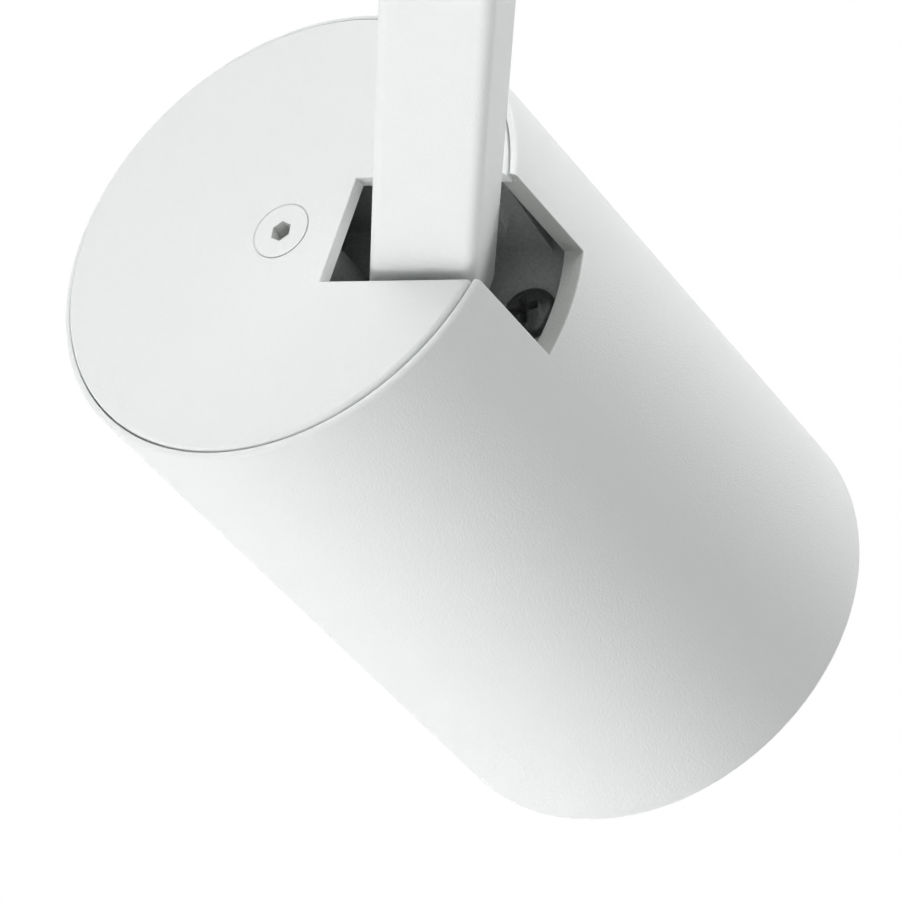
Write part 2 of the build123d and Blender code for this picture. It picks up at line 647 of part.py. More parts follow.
def slot_edges(solid):
    """The edges that the arm's slot leaves in the outer faces of the housing or the cap."""
    near = 0.01
    up = Vector(0, 0, 1)
    lines = solid.edges().filter_by(GeomType.LINE)
    flat = [line for line in lines if abs(line.center().Z) < near]
    upright = [line for line in lines if abs(line.center().cross(up).length - HEAD_RADIUS) < near]
    return flat + upright + rim(solid, HEAD_RADIUS, -SLOT_DEPTH)


def head_housing():
    """Round housing with a seat for the cap, two inner shoulders and the arm's slot."""
    shell = turned(
        (CAP_SEAT_RADIUS, 0),
        (HEAD_RADIUS, 0),
        (HEAD_RADIUS, -HEAD_LENGTH),
        (FRONT_BORE, -HEAD_LENGTH),
        (FRONT_BORE, FLANGE_SEAT),
        (MID_BORE, FLANGE_SEAT),
        (MID_BORE, SINK_FACE),
        (REAR_BORE, SINK_FACE),
        (REAR_BORE, -CAP_THICKNESS),
        (CAP_SEAT_RADIUS, -CAP_THICKNESS),
    )
    shell = fillet(rim(shell, HEAD_RADIUS, -HEAD_LENGTH), HEAD_FRONT_RADIUS)
    shell = fillet(rim(shell, HEAD_RADIUS, 0), min(HEAD_RIM_RADIUS, 0.8 * HEAD_LIP))
    shell -= arm_slot(-SLOT_DEPTH)
    return fillet(slot_edges(shell), SLOT_EDGE_RADIUS)


def cap_peg_places():
    """Pegs under the cap that straddle the casting."""
    y = CRADLE_HALF + SLIP + CAP_PEG_RADIUS
    return [(CAP_PEG_X, -y), (CAP_PEG_X, y)]


def cap_screw_seat():
    """Countersink for the cap's screw, as a cutter through the cap and into the casting's column."""
    return turned(
        (0, PAST),
        (CAP_SCREW_HEAD_RADIUS + CAP_SCREW_GAP, PAST),
        (CAP_SCREW_HEAD_RADIUS + CAP_SCREW_GAP, 0),
        (CAP_SCREW_RADIUS + CAP_SCREW_GAP, -CAP_SCREW_HEAD_RADIUS + CAP_SCREW_RADIUS),
        (CAP_SCREW_RADIUS + CAP_SCREW_GAP, -CAP_THICKNESS - PAST),
        (0, -CAP_THICKNESS - PAST),
    )


def rear_cap():
    """Flat cap with the countersink, its part of the slot and two locating pegs."""
    cap = turned((0, 0), (CAP_RADIUS, 0), (CAP_RADIUS, -CAP_THICKNESS), (0, -CAP_THICKNESS))
    cap = fillet(rim(cap, CAP_RADIUS, 0), CAP_EDGE_RADIUS)
    cap -= cap_screw_seat()
    cap -= arm_slot(-CAP_THICKNESS - PAST)
    cap = fillet(slot_edges(cap), SLOT_EDGE_RADIUS)
    for x, y in cap_peg_places():
        cap += disc(CAP_PEG_RADIUS, -CAP_THICKNESS - CAP_PEG_LENGTH, -CAP_THICKNESS, x, y)
    return cap


def cap_screw():
    """Countersunk screw with a hexagon socket, flush with the cap."""
    screw = turned(
        (0, 0),
        (CAP_SCREW_HEAD_RADIUS, 0),
        (CAP_SCREW_RADIUS, -CAP_SCREW_HEAD_RADIUS + CAP_SCREW_RADIUS),
        (CAP_SCREW_RADIUS, -CAP_SCREW_LENGTH),
        (0, -CAP_SCREW_LENGTH),
    )
    socket = extrude(hexagon(CAP_SCREW_SOCKET), -0.6 * CAP_SCREW_SOCKET)
    return screw - socket


def cradle_screw_places():
    """Screws that hold the casting on the heat sink, the first one inside the pocket."""
    return [spoke * Pos(0, 0, POCKET_FLOOR) for spoke in spokes(CRADLE_SCREW_COUNT, CRADLE_SCREW_PLACE)]


def pocket():
    """Cutter for the casting's pocket, with its shallow inner floor left standing."""
    far = HEAD_RADIUS
    plan = Pos((POCKET_INNER_END + far) / 2, 0) * Rectangle(far - POCKET_INNER_END, 2 * POCKET_HALF)
    hollow = extrude(Pos(0, 0, POCKET_FLOOR) * plan, 1 - POCKET_FLOOR)
    inner_edges = hollow.edges().filter_by(Axis.Z).group_by(Axis.X)[0]
    hollow = fillet(inner_edges, POCKET_CORNER_RADIUS)
    step_x = (POCKET_INNER_END - PAST, STEP_END)
    return hollow - block(step_x, (-POCKET_HALF, POCKET_HALF), (POCKET_FLOOR, STEP_FLOOR))


def gusset(x, side):
    """Triangular rib between a side wall and the flange of the casting."""
    foot = side * CRADLE_HALF
    corners = [
        (x, foot - side * SEATED, POCKET_FLOOR),
        (x, foot + side * GUSSET_REACH, POCKET_FLOOR),
        (x, foot - side * SEATED, POCKET_FLOOR + GUSSET_RISE),
    ]
    rib = make_face(Polyline(*corners, close=True))
    return extrude(rib, GUSSET_WALL / 2, dir=(1, 0, 0), both=True)


def pivot_cradle():
    """Casting that carries the head: flange, tapered channel walls, hinge bosses, screw column."""
    channel = block(
        (POCKET_INNER_END - CRADLE_WALL, HEAD_RADIUS),
        (-CRADLE_HALF, CRADLE_HALF),
        (POCKET_FLOOR, CRADLE_TOP),
    )
    channel = fillet(channel.edges().filter_by(Axis.Z).group_by(Axis.X)[0], POCKET_CORNER_RADIUS)
    channel -= pocket()
    taper = turned(
        (0, POCKET_FLOOR),
        (CRADLE_FLOOR_RADIUS, POCKET_FLOOR),
        (CRADLE_TOP_RADIUS, CRADLE_TOP),
        (0, CRADLE_TOP),
    )
    channel &= taper
    for side in (-1, 1):
        y_span = sorted((side * BOSS_FACE, side * (POCKET_HALF + SEATED)))
        channel += cross_bar(BOSS_RADIUS, *y_span, PIVOT_OFFSET, -PIVOT_DEPTH)
    casting = channel + disc(INNER_FIT, SINK_TOP, POCKET_FLOOR)
    casting += disc(COLUMN_RADIUS, STEP_FLOOR, -CAP_THICKNESS - SEATED)
    rear_rib = CAP_PEG_X + 2 * CAP_PEG_RADIUS + GUSSET_WALL
    front_rib = PIVOT_OFFSET - AXLE_HEAD_RADIUS - 2 * GUSSET_WALL
    for side in (-1, 1):
        casting += gusset(rear_rib, side)
        casting += gusset(front_rib, side)
    casting -= cap_screw_seat()
    casting -= disc(CAP_SCREW_RADIUS + SEATED, -CAP_SCREW_LENGTH - PAST, 0)
    casting -= cross_bar(AXLE_RADIUS + SEATED, -HEAD_RADIUS, HEAD_RADIUS, PIVOT_OFFSET, -PIVOT_DEPTH)
    casting -= disc(WIRE_HOLE_RADIUS + GROMMET_LIP, SINK_TOP - PAST, STEP_FLOOR + PAST, WIRE_HOLE_X)
    for place in cradle_screw_places():
        casting -= place * disc(CRADLE_SCREW_RADIUS + SEATED, -CRADLE_FLANGE - PAST, PAST)
    return casting


def cradle_screws():
    """Dark cross-recess screws on the casting's floor."""
    radius, height = CRADLE_SCREW_HEAD_RADIUS, CRADLE_SCREW_HEAD_HEIGHT
    screw = pan_head_screw(CRADLE_SCREW_RADIUS, CRADLE_SCREW_LENGTH, radius, height)
    screw -= cross_recess(radius, height)
    return Compound([hung(place * screw) for place in cradle_screw_places()])


def friction_washers():
    """A washer each side of the arm, on the tilt pin."""
    washers = []
    for side in (-1, 1):
        y_span = sorted((side * (ARM_DEPTH / 2 + RUNNING), side * BOSS_FACE))
        washer = cross_bar(FRICTION_WASHER_RADIUS, *y_span, PIVOT_OFFSET, -PIVOT_DEPTH)
        washers.append(hung(washer - cross_bar(AXLE_RADIUS + SEATED, *y_span, PIVOT_OFFSET, -PIVOT_DEPTH)))
    return Compound(washers)


def tilt_axle():
    """Shoulder bolt through the casting, the washers and the arm."""
    head_y = (-CRADLE_HALF - AXLE_HEAD_HEIGHT, -CRADLE_HALF)
    bolt_end = CRADLE_HALF + AXLE_NUT_HEIGHT + AXLE_PROUD
    bolt = cross_bar(AXLE_RADIUS, -CRADLE_HALF, bolt_end, PIVOT_OFFSET, -PIVOT_DEPTH)
    head = cross_bar(AXLE_HEAD_RADIUS, *head_y, PIVOT_OFFSET, -PIVOT_DEPTH)
    head = chamfer(head.edges().group_by(Axis.Y)[0], 0.2 * AXLE_HEAD_HEIGHT)
    socket = extrude(hexagon(AXLE_SOCKET), 0.6 * AXLE_HEAD_HEIGHT)
    socket = Pos(PIVOT_OFFSET, head_y[0], -PIVOT_DEPTH) * Rot(-90, 0, 0) * socket
    return bolt + (head - socket)


def axle_nut():
    """Lock nut of the tilt pin, on the casting's far wall."""
    nut = extrude(hexagon(AXLE_NUT_FLATS), -AXLE_NUT_HEIGHT)
    nut = Pos(PIVOT_OFFSET, CRADLE_HALF, -PIVOT_DEPTH) * Rot(90, 0, 0) * nut
    return nut - cross_bar(AXLE_RADIUS + SEATED, 0, HEAD_RADIUS, PIVOT_OFFSET, -PIVOT_DEPTH)


def wire_grommet():
    """Rubber bush where the wires leave the pocket for the lamp."""
    outer = WIRE_HOLE_RADIUS + GROMMET_LIP - SEATED
    bush = turned(
        (WIRE_HOLE_RADIUS, SINK_TOP + SEATED),
        (outer, SINK_TOP + SEATED),
        (outer, STEP_FLOOR),
        (WIRE_HOLE_RADIUS, STEP_FLOOR + GROMMET_LIP),
    )
    return Pos(WIRE_HOLE_X, 0, 0) * bush


def heat_sink():
    """Round base with a core, radial fins and the pillars for the casting's screws."""
    base_top = SINK_FACE + SINK_BASE
    sink = disc(INNER_FIT, SINK_FACE, base_top) + disc(SINK_CORE_RADIUS, base_top, SINK_TOP)
    fin_reach = (SINK_CORE_RADIUS - PAST, INNER_FIT - SLIP)
    fin = block(fin_reach, (-SINK_FIN_WALL / 2, SINK_FIN_WALL / 2), (base_top - PAST, SINK_TOP))
    half_step = 180 / SINK_FINS
    sink += [Rot(0, 0, half_step * (2 * index + 1)) * fin for index in range(SINK_FINS)]
    for spoke in spokes(CRADLE_SCREW_COUNT, CRADLE_SCREW_PLACE):
        sink += spoke * disc(SINK_PILLAR_RADIUS, base_top - PAST, SINK_TOP)
    for spoke in spokes(CRADLE_SCREW_COUNT, CRADLE_SCREW_PLACE):
        screw_end = POCKET_FLOOR - CRADLE_SCREW_LENGTH
        sink -= spoke * disc(CRADLE_SCREW_RADIUS + SEATED, screw_end - PAST, SINK_TOP + PAST)
    sink -= disc(WIRE_HOLE_RADIUS, SINK_FACE - PAST, SINK_TOP + PAST, SINK_WIRE_X)
    for y in (-HOLDER_SCREW_PLACE, HOLDER_SCREW_PLACE):
        sink -= disc(HOLDER_SCREW_RADIUS + SEATED, SINK_FACE - PAST, base_top - PAST, 0, y)
    return sink


def thermal_pad():
    """Soft pad between heat sink and light source."""
    half = BOARD_SIDE / 2
    return block((-half, half), (-half, half), (SINK_FACE - PAD_THICKNESS, SINK_FACE))


def led_board():
    """Square carrier of the light source with cut corners."""
    half = BOARD_SIDE / 2
    top = SINK_FACE - PAD_THICKNESS
    board = block((-half, half), (-half, half), (top - BOARD_THICKNESS, top))
    return chamfer(board.edges().filter_by(Axis.Z), 0.1 * BOARD_SIDE)


def led_emitter():
    """Round yellow light source on its carrier."""
    top = SINK_FACE - PAD_THICKNESS - BOARD_THICKNESS
    return disc(EMITTER_RADIUS, top - EMITTER_THICKNESS, top)


def led_holder():
    """Moulded ring that holds the carrier on the heat sink, with a funnel towards the reflector."""
    holder = turned(
        (HOLDER_OPENING, SINK_FACE),
        (HOLDER_RADIUS, SINK_FACE),
        (HOLDER_RADIUS, HOLDER_FRONT + HOLDER_EDGE),
        (HOLDER_RADIUS - HOLDER_EDGE, HOLDER_FRONT),
        (HOLDER_OPENING + HOLDER_EDGE, HOLDER_FRONT),
        (HOLDER_OPENING, HOLDER_FRONT + HOLDER_EDGE),
    )
    half = BOARD_SIDE / 2 + SLIP
    seat = PAD_THICKNESS + BOARD_THICKNESS + SEATED
    holder -= block((-half, half), (-half, half), (SINK_FACE - seat, SINK_FACE + PAST))
    holder -= disc(WIRE_HOLE_RADIUS, HOLDER_FRONT - PAST, SINK_FACE + PAST, SINK_WIRE_X)
    for y in (-HOLDER_SCREW_PLACE, HOLDER_SCREW_PLACE):
        holder -= disc(HOLDER_SCREW_RADIUS + SEATED, HOLDER_FRONT - PAST, SINK_FACE + PAST, 0, y)
        holder -= disc(SMALL_SCREW_HEAD_RADIUS + SLIP, HOLDER_FRONT - PAST, HOLDER_SCREW_SEAT, 0, y)
    return holder


def holder_screws():
    """Two screws, holder to heat sink."""
    length = HOLDER_SCREW_LENGTH
    screw = pan_head_screw(HOLDER_SCREW_RADIUS, length, SMALL_SCREW_HEAD_RADIUS, SMALL_SCREW_HEAD_HEIGHT)
    screw = Rot(180, 0, 0) * screw
    places = [(0, -HOLDER_SCREW_PLACE), (0, HOLDER_SCREW_PLACE)]
    return Compound([hung(Pos(x, y, HOLDER_SCREW_SEAT) * screw) for x, y in places])


def bowl(wall, mouth_height):
    """Corners of the reflector's parabola, from throat to mouth, moved outwards by its wall."""
    throat_height = HOLDER_FRONT - SLIP
    for band in range(REFLECTOR_BANDS + 1):
        share = band / REFLECTOR_BANDS
        radius = REFLECTOR_THROAT + (REFLECTOR_MOUTH - REFLECTOR_THROAT) * share
        yield radius + wall, throat_height + (mouth_height - throat_height) * share**2


def reflector():
    """Turned bowl from the light source to the glass, with a flange on the housing's shoulder."""
    inside = list(bowl(0, FLANGE_FRONT))
    outside = list(bowl(REFLECTOR_WALL, FLANGE_SEAT))
    return turned(*inside, (FRONT_FIT, FLANGE_FRONT), (FRONT_FIT, FLANGE_SEAT), *reversed(outside))


def glass_gasket():
    """Flat seal between the reflector's flange and the glass."""
    inner = FRONT_FIT - GASKET_WIDTH
    return disc(FRONT_FIT, GLASS_BACK, FLANGE_FRONT) - disc(inner, GLASS_BACK - PAST, FLANGE_FRONT + PAST)


def front_glass():
    """Clear front window."""
    pane = disc(FRONT_FIT, GLASS_FRONT, GLASS_BACK)
    return chamfer(pane.edges(), 0.2 * GLASS_THICKNESS)


def baffle_ring():
    """Glare ring: its inside opens towards the front in small steps."""
    front = -HEAD_LENGTH + BAFFLE_SET_BACK
    rise = (GLASS_FRONT - front) / BAFFLE_STEPS
    run = (BAFFLE_FRONT_RADIUS - BAFFLE_INNER_RADIUS) / BAFFLE_STEPS
    corners = [(FRONT_FIT, GLASS_FRONT), (BAFFLE_INNER_RADIUS, GLASS_FRONT)]
    for step in range(BAFFLE_STEPS):
        height = GLASS_FRONT - rise * (step + 1)
        corners.append((BAFFLE_INNER_RADIUS + run * step, height))
        corners.append((BAFFLE_INNER_RADIUS + run * (step + 1), height))
    corners.append((FRONT_FIT, front))
    return turned(*corners)


BASE_PIECES = {
    "ceiling_plate": ceiling_plate(),
    "plate_grommet": plate_grommet(),
    "pan_bridge": pan_bridge(),
    "bridge_screws": small_screws(bridge_screw_places(), -PLATE_WALL - BRIDGE_WALL),
    "pan_bush": pan_bush(),
    "stop_pin": stop_pin(),
    "led_driver": led_driver(),
    "driver_screws": small_screws(driver_screw_places(), -PLATE_WALL - DRIVER_EAR_WALL),
    "terminal_block": terminal_block(),
    "terminal_screws": small_screws(terminal_screw_places(), -PLATE_WALL - TERMINAL_HEIGHT / 2),
    "cable_clamp": cable_clamp(),
    "clamp_screws": small_screws(clamp_screw_places(), -PLATE_WALL - CLAMP_HEIGHT),
    "base_cover": base_cover(),
    "cover_screws": cover_screws(),
}

ARM_PIECES = {
    "arm_tube": arm_tube(),
    "arm_neck": arm_neck(),
    "neck_screws": neck_screws(),
    "pan_tab_washer": pan_tab_washer(),
    "spring_washer": spring_washer(),
    "pan_nut": pan_nut(),
    "tilt_knuckle": tilt_knuckle(),
    "knuckle_pin": knuckle_pin(),
}

HEAD_PIECES = {
    "head_housing": hung(head_housing()),
    "rear_cap": hung(rear_cap()),
    "cap_screw": hung(cap_screw()),
    "pivot_cradle": hung(pivot_cradle()),
    "cradle_screws": cradle_screws(),
    "friction_washers": friction_washers(),
    "tilt_axle": hung(tilt_axle()),
    "axle_nut": hung(axle_nut()),
    "wire_grommet": hung(wire_grommet()),
    "heat_sink": hung(heat_sink()),
    "thermal_pad": hung(thermal_pad()),
    "led_board": hung(led_board()),
    "led_emitter": hung(led_emitter()),
    "led_holder": hung(led_holder()),
    "holder_screws": holder_screws(),
    "reflector": hung(reflector()),
    "glass_gasket": hung(glass_gasket()),
    "front_glass": hung(front_glass()),
    "baffle_ring": hung(baffle_ring()),
}

os.makedirs("parts", exist_ok=True)
for pieces in (BASE_PIECES, ARM_PIECES, HEAD_PIECES):
    for name, solid in pieces.items():
        save(name, solid)
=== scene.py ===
# %% [markdown]
# # A surface mounted ceiling spotlight
# A round white head hangs on a square arm under a round base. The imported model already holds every
# piece at its real size. This script dresses it: it gives all pieces their finishes, adds finer
# meshes where the eye comes close, and sets up a camera and a small photo studio.

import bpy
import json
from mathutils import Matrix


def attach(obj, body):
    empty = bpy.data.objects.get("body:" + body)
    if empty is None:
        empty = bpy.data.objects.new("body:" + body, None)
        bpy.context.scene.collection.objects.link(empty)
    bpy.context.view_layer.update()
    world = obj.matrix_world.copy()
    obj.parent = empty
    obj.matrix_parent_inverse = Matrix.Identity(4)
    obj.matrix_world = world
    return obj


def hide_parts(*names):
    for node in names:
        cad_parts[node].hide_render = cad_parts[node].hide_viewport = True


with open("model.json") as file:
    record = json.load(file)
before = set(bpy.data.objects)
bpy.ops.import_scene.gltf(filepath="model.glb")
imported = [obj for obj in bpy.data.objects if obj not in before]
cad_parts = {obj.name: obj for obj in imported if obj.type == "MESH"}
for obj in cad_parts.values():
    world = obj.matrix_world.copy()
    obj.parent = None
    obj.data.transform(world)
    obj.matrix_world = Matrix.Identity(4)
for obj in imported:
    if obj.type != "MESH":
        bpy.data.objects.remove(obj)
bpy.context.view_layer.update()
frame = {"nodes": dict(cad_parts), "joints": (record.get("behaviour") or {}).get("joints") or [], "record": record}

# %% [markdown]
# ## Tools and units
# A mesh can be shaped by hand in edit mode, or built point by point in code with bmesh. Turned and
# milled pieces are all circles and straight lines, so sines and cosines place their points exactly.
# Sizes of the light are written in millimetres, as on a maker's drawing, and one factor turns them
# to metres. Sizes of the studio are in metres.

# %% Tools used all through
import json
from math import asin, cos, pi, radians, sin, sqrt

import bmesh
import bpy
from mathutils import Matrix, Vector

MM = 0.001

# %% [markdown]
# ## The camera
# The photograph was taken from above with a long lens: the far and near edges of the head look
# almost the same size. A camera can be aimed by hand until the picture looks right. Here its place,
# azimuth, elevation and roll were fitted to the head's outline, the cap's seam and the arm's edges,
# so they are plain numbers. Its place is given from the tilt pin, because the pin is a point that
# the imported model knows.

# %% Camera
TILT_PIN = Vector(next(j["pos_m"] for j in frame["joints"] if j["name"] == "head_tilt"))
CAMERA_FROM_PIN = Vector((77.18, -303.50, 612.03)) * MM
CAMERA_AZIMUTH = radians(-13.563)
CAMERA_ELEVATION = radians(64.854)
CAMERA_ROLL = radians(3.810)
CAMERA_LENS = 207.2


def camera_axes(azimuth, elevation, roll):
    """Right, up and backward directions of a camera that looks down at an elevation."""
    forward = Vector((
        sin(azimuth) * cos(elevation), cos(azimuth) * cos(elevation), -sin(elevation)
    ))
    level_right = Vector((cos(azimuth), -sin(azimuth), 0))
    level_up = level_right.cross(forward)
    right = level_right * cos(roll) + level_up * sin(roll)
    return right, right.cross(forward), -forward


camera_data = bpy.data.cameras.new("camera")
camera_data.lens = CAMERA_LENS
camera_data.clip_start, camera_data.clip_end = 0.01, 20
camera = bpy.data.objects.new("camera", camera_data)
bpy.context.scene.collection.objects.link(camera)
camera_turn = Matrix(camera_axes(CAMERA_AZIMUTH, CAMERA_ELEVATION, CAMERA_ROLL)).transposed()
camera.matrix_world = Matrix.Translation(TILT_PIN + CAMERA_FROM_PIN) @ camera_turn.to_4x4()
bpy.context.scene.camera = camera
print("camera at", [round(v, 4) for v in camera.location])

# %% [markdown]
# ## Colours and nodes
# Paint charts and screens give colours as sRGB hex values, while Blender mixes light in linear
# values, so one function turns every colour. A node tree can be drawn in the shader editor or built
# in code. One more function adds a node, sets it and links it, so that each material below reads
# from top to bottom as its tree does from left to right.


# %% Colour and node helpers
def linear_rgb(hex_colour):
    """Linear colour, with alpha 1, from an sRGB hex value."""
    shares = [int(hex_colour[start : start + 2], 16) / 255 for start in (1, 3, 5)]
    return [s / 12.92 if s <= 0.04045 else ((s + 0.055) / 1.055) ** 2.4 for s in shares] + [1.0]


def add_node(tree, kind, settings=None, **inputs):
    """Add a node, set its properties, and set or link its inputs, named with _ for a space."""
    node = tree.nodes.new(kind)
    for name, value in (settings or {}).items():
        setattr(node, name, value)
    for name, value in inputs.items():
        socket = node.inputs[name.replace("_", " ")]
        if isinstance(value, bpy.types.NodeSocket):
            tree.links.new(value, socket)
        else:
            socket.default_value = value
    return node


def new_surface(name):
    """An empty material: itself, its tree, its output, and coordinates in metres of the piece."""
    material = bpy.data.materials.new(name)
    material.use_nodes = True
    tree = material.node_tree
    tree.nodes.clear()
    output = add_node(tree, "ShaderNodeOutputMaterial")
    place = add_node(tree, "ShaderNodeTexCoord").outputs["Object"]
    return material, tree, output, place


def grain_scale(size_mm):
    """Noise scale per metre whose grains are about one size in millimetres."""
    return 1 / (size_mm * MM)


print("mid grey is", round(linear_rgb("#808080")[0], 4), "in linear light")

# %% [markdown]
# ## White powder coat
# The housing, cap, arm and cover are aluminium and steel with a sprayed and baked polyester powder.
# It gives a satin white with a fine grain. That grain is far too fine for a mesh and the same all
# over, so two noises stand for it as bump: grit of about 0.3 mm over a softer orange peel of about
# 1.5 mm. The grit also shifts the colour and the roughness a little, which keeps the satin from
# looking like enamel. Polyester has an IOR near 1.5 and no metal in it.


# %% White powder coat
def make_powder_coat(name, dark, light):
    """A satin powder coat between two hex colours."""
    material, tree, output, place = new_surface(name)
    grit = add_node(
        tree,
        "ShaderNodeTexNoise",
        Vector=place,
        Scale=grain_scale(0.30),
        Detail=3.0,
        Roughness=0.55,
    )
    peel = add_node(tree, "ShaderNodeTexNoise", Vector=place, Scale=grain_scale(1.5), Detail=1.0)
    grit_level = grit.outputs["Fac"]
    tint = add_node(tree, "ShaderNodeValToRGB", Fac=grit_level)
    tint.color_ramp.elements[0].color = linear_rgb(dark)
    tint.color_ramp.elements[1].color = linear_rgb(light)
    gloss = add_node(tree, "ShaderNodeMapRange", Value=grit_level, To_Min=0.42, To_Max=0.56)
    peel_bump = add_node(
        tree,
        "ShaderNodeBump",
        Height=peel.outputs["Fac"],
        Strength=0.10,
        Distance=0.10 * MM,
    )
    grit_bump = add_node(
        tree,
        "ShaderNodeBump",
        Height=grit_level,
        Strength=0.7,
        Distance=0.13 * MM,
        Normal=peel_bump.outputs["Normal"],
    )
    shader = add_node(
        tree,
        "ShaderNodeBsdfPrincipled",
        Base_Color=tint.outputs["Color"],
        Roughness=gloss.outputs["Result"],
        IOR=1.5,
        Normal=grit_bump.outputs["Normal"],
    )
    tree.links.new(shader.outputs["BSDF"], output.inputs["Surface"])
    return material


powder_coat = make_powder_coat("white_polyester_powder_coat_satin", "#F0F2F1", "#F6F8F7")
# The spray gun reaches little into the milled slot, so the metal greys the white there. This darker coat is also
# painted shade: it darkens the slot's walls and floor and the socket of the cap screw, where little light reaches.
thin_coat_and_painted_shade = make_powder_coat("white_powder_coat_thin_and_painted_shade", "#C2C4C2", "#D0D2D0")
print("made", powder_coat.name, "and", thin_coat_and_painted_shade.name)

# %% [markdown]
# ## Bare and plated metals
# Castings, turned steel, zinc plate and black oxide differ in colour, in how rough they are and in
# the scale of their marks. Each could have a tree of its own. They share one recipe, because all
# those marks are small dents: a grain that shifts colour and roughness a little and dents the
# metal. An extrusion's marks run along its length, so its grain is stretched that way.


# %% Metals
def make_metal(name, dark, light, grain_mm, rough, dent_mm, stretch=(1, 1, 1), metallic=1.0):
    """A metal between two hex colours, with a grain of one size that an axis may stretch."""
    material, tree, output, place = new_surface(name)
    lay = add_node(tree, "ShaderNodeMapping", Vector=place, Scale=stretch)
    grain = add_node(
        tree,
        "ShaderNodeTexNoise",
        Vector=lay.outputs["Vector"],
        Scale=grain_scale(grain_mm),
        Detail=4.0,
    )
    level = grain.outputs["Fac"]
    tint = add_node(tree, "ShaderNodeValToRGB", Fac=level)
    tint.color_ramp.elements[0].position, tint.color_ramp.elements[1].position = 0.3, 0.7
    tint.color_ramp.elements[0].color = linear_rgb(dark)
    tint.color_ramp.elements[1].color = linear_rgb(light)
    gloss = add_node(tree, "ShaderNodeMapRange", Value=level, To_Min=rough[0], To_Max=rough[1])
    bump = add_node(tree, "ShaderNodeBump", Height=level, Strength=0.5, Distance=dent_mm * MM)
    shader = add_node(
        tree,
        "ShaderNodeBsdfPrincipled",
        Base_Color=tint.outputs["Color"],
        Metallic=metallic,
        Roughness=gloss.outputs["Result"],
        Normal=bump.outputs["Normal"],
    )
    tree.links.new(shader.outputs["BSDF"], output.inputs["Surface"])
    return material


# Blasting leaves the casting so matt that it scatters light almost as paint does, and black oxide
# is a dark skin on the steel, so both are only partly metallic.
cast_aluminium = make_metal(
    "aluminium_die_cast_blasted", "#ADB0AF", "#C3C6C5", 0.5, (0.65, 0.8), 0.05, metallic=0.25
)
black_steel = make_metal(
    "steel_black_oxide", "#525453", "#666867", 0.4, (0.3, 0.45), 0.03, metallic=0.6
)
turned_steel = make_metal("steel_turned_bright", "#B9BBBC", "#CFD1D2", 0.25, (0.25, 0.38), 0.02)
zinc_plate = make_metal("steel_zinc_plated_matt", "#AEB4B6", "#C9CED0", 1.6, (0.35, 0.5), 0.03)
milled_aluminium = make_metal(
    "aluminium_extruded_mill_finish", "#B4B7B9", "#CCCED0", 0.3, (0.35, 0.5), 0.03, (1, 1, 0.1)
)
mirror_coat = make_metal(
    "aluminium_vapour_coated_mirror", "#E2E4E6", "#F0F1F2", 2.0, (0.05, 0.12), 0.01
)
metals = [cast_aluminium, black_steel, turned_steel, zinc_plate, milled_aluminium, mirror_coat]
print("made", [metal.name for metal in metals])

# %% [markdown]
# ## Plastics and rubber
# The bush, driver case, terminals and glare ring are moulded, and so are the rubber bushes. The
# mould's face is eroded by sparks, which leaves an even texture a fraction of a millimetre wide. A
# plain gloss would look like enamel, so noise of that width shifts colour, roughness and bump.
# Nylon, polycarbonate, silicone and rubber all have an IOR near 1.5.


# %% Plastics
def make_plastic(name, dark, light, grain_mm, rough, dent_mm):
    """A moulded plastic or rubber between two hex colours with an even spark texture."""
    material, tree, output, place = new_surface(name)
    spark = add_node(
        tree, "ShaderNodeTexNoise", Vector=place, Scale=grain_scale(grain_mm), Detail=2.0
    )
    level = spark.outputs["Fac"]
    tint = add_node(tree, "ShaderNodeValToRGB", Fac=level)
    tint.color_ramp.elements[0].color = linear_rgb(dark)
    tint.color_ramp.elements[1].color = linear_rgb(light)
    gloss = add_node(tree, "ShaderNodeMapRange", Value=level, To_Min=rough[0], To_Max=rough[1])
    bump = add_node(tree, "ShaderNodeBump", Height=level, Strength=0.4, Distance=dent_mm * MM)
    shader = add_node(
        tree,
        "ShaderNodeBsdfPrincipled",
        Base_Color=tint.outputs["Color"],
        Roughness=gloss.outputs["Result"],
        IOR=1.52,
        Normal=bump.outputs["Normal"],
    )
    tree.links.new(shader.outputs["BSDF"], output.inputs["Surface"])
    return material


grey_nylon = make_plastic("nylon_grey_moulded", "#8A8B88", "#979895", 0.4, (0.45, 0.6), 0.03)
white_plastic = make_plastic(
    "polycarbonate_white_moulded", "#E4E4E0", "#EDEDEA", 0.4, (0.4, 0.5), 0.02
)
black_plastic = make_plastic(
    "polycarbonate_black_matt", "#141414", "#1E1E1E", 0.3, (0.6, 0.75), 0.04
)
black_rubber = make_plastic("rubber_black_moulded", "#161616", "#202020", 0.6, (0.65, 0.8), 0.03)
heat_pad = make_plastic("silicone_blue_grey_pad", "#6F7F8C", "#7D8D99", 0.8, (0.6, 0.7), 0.03)
phosphor = make_plastic("silicone_yellow_phosphor", "#E3C53A", "#F0D75A", 0.5, (0.3, 0.4), 0.02)
plastics = [grey_nylon, white_plastic, black_plastic, black_rubber, heat_pad, phosphor]
print("made", [plastic.name for plastic in plastics])

# %% [markdown]
# ## Glass
# The front window is toughened float glass, clear and polished on both faces, with an IOR of 1.52.
# A thin see-through film would show what lies behind it, but only a solid that transmits light
# bends it at both faces, as the pane does. A faint smear in the roughness keeps the polish from
# being perfect.


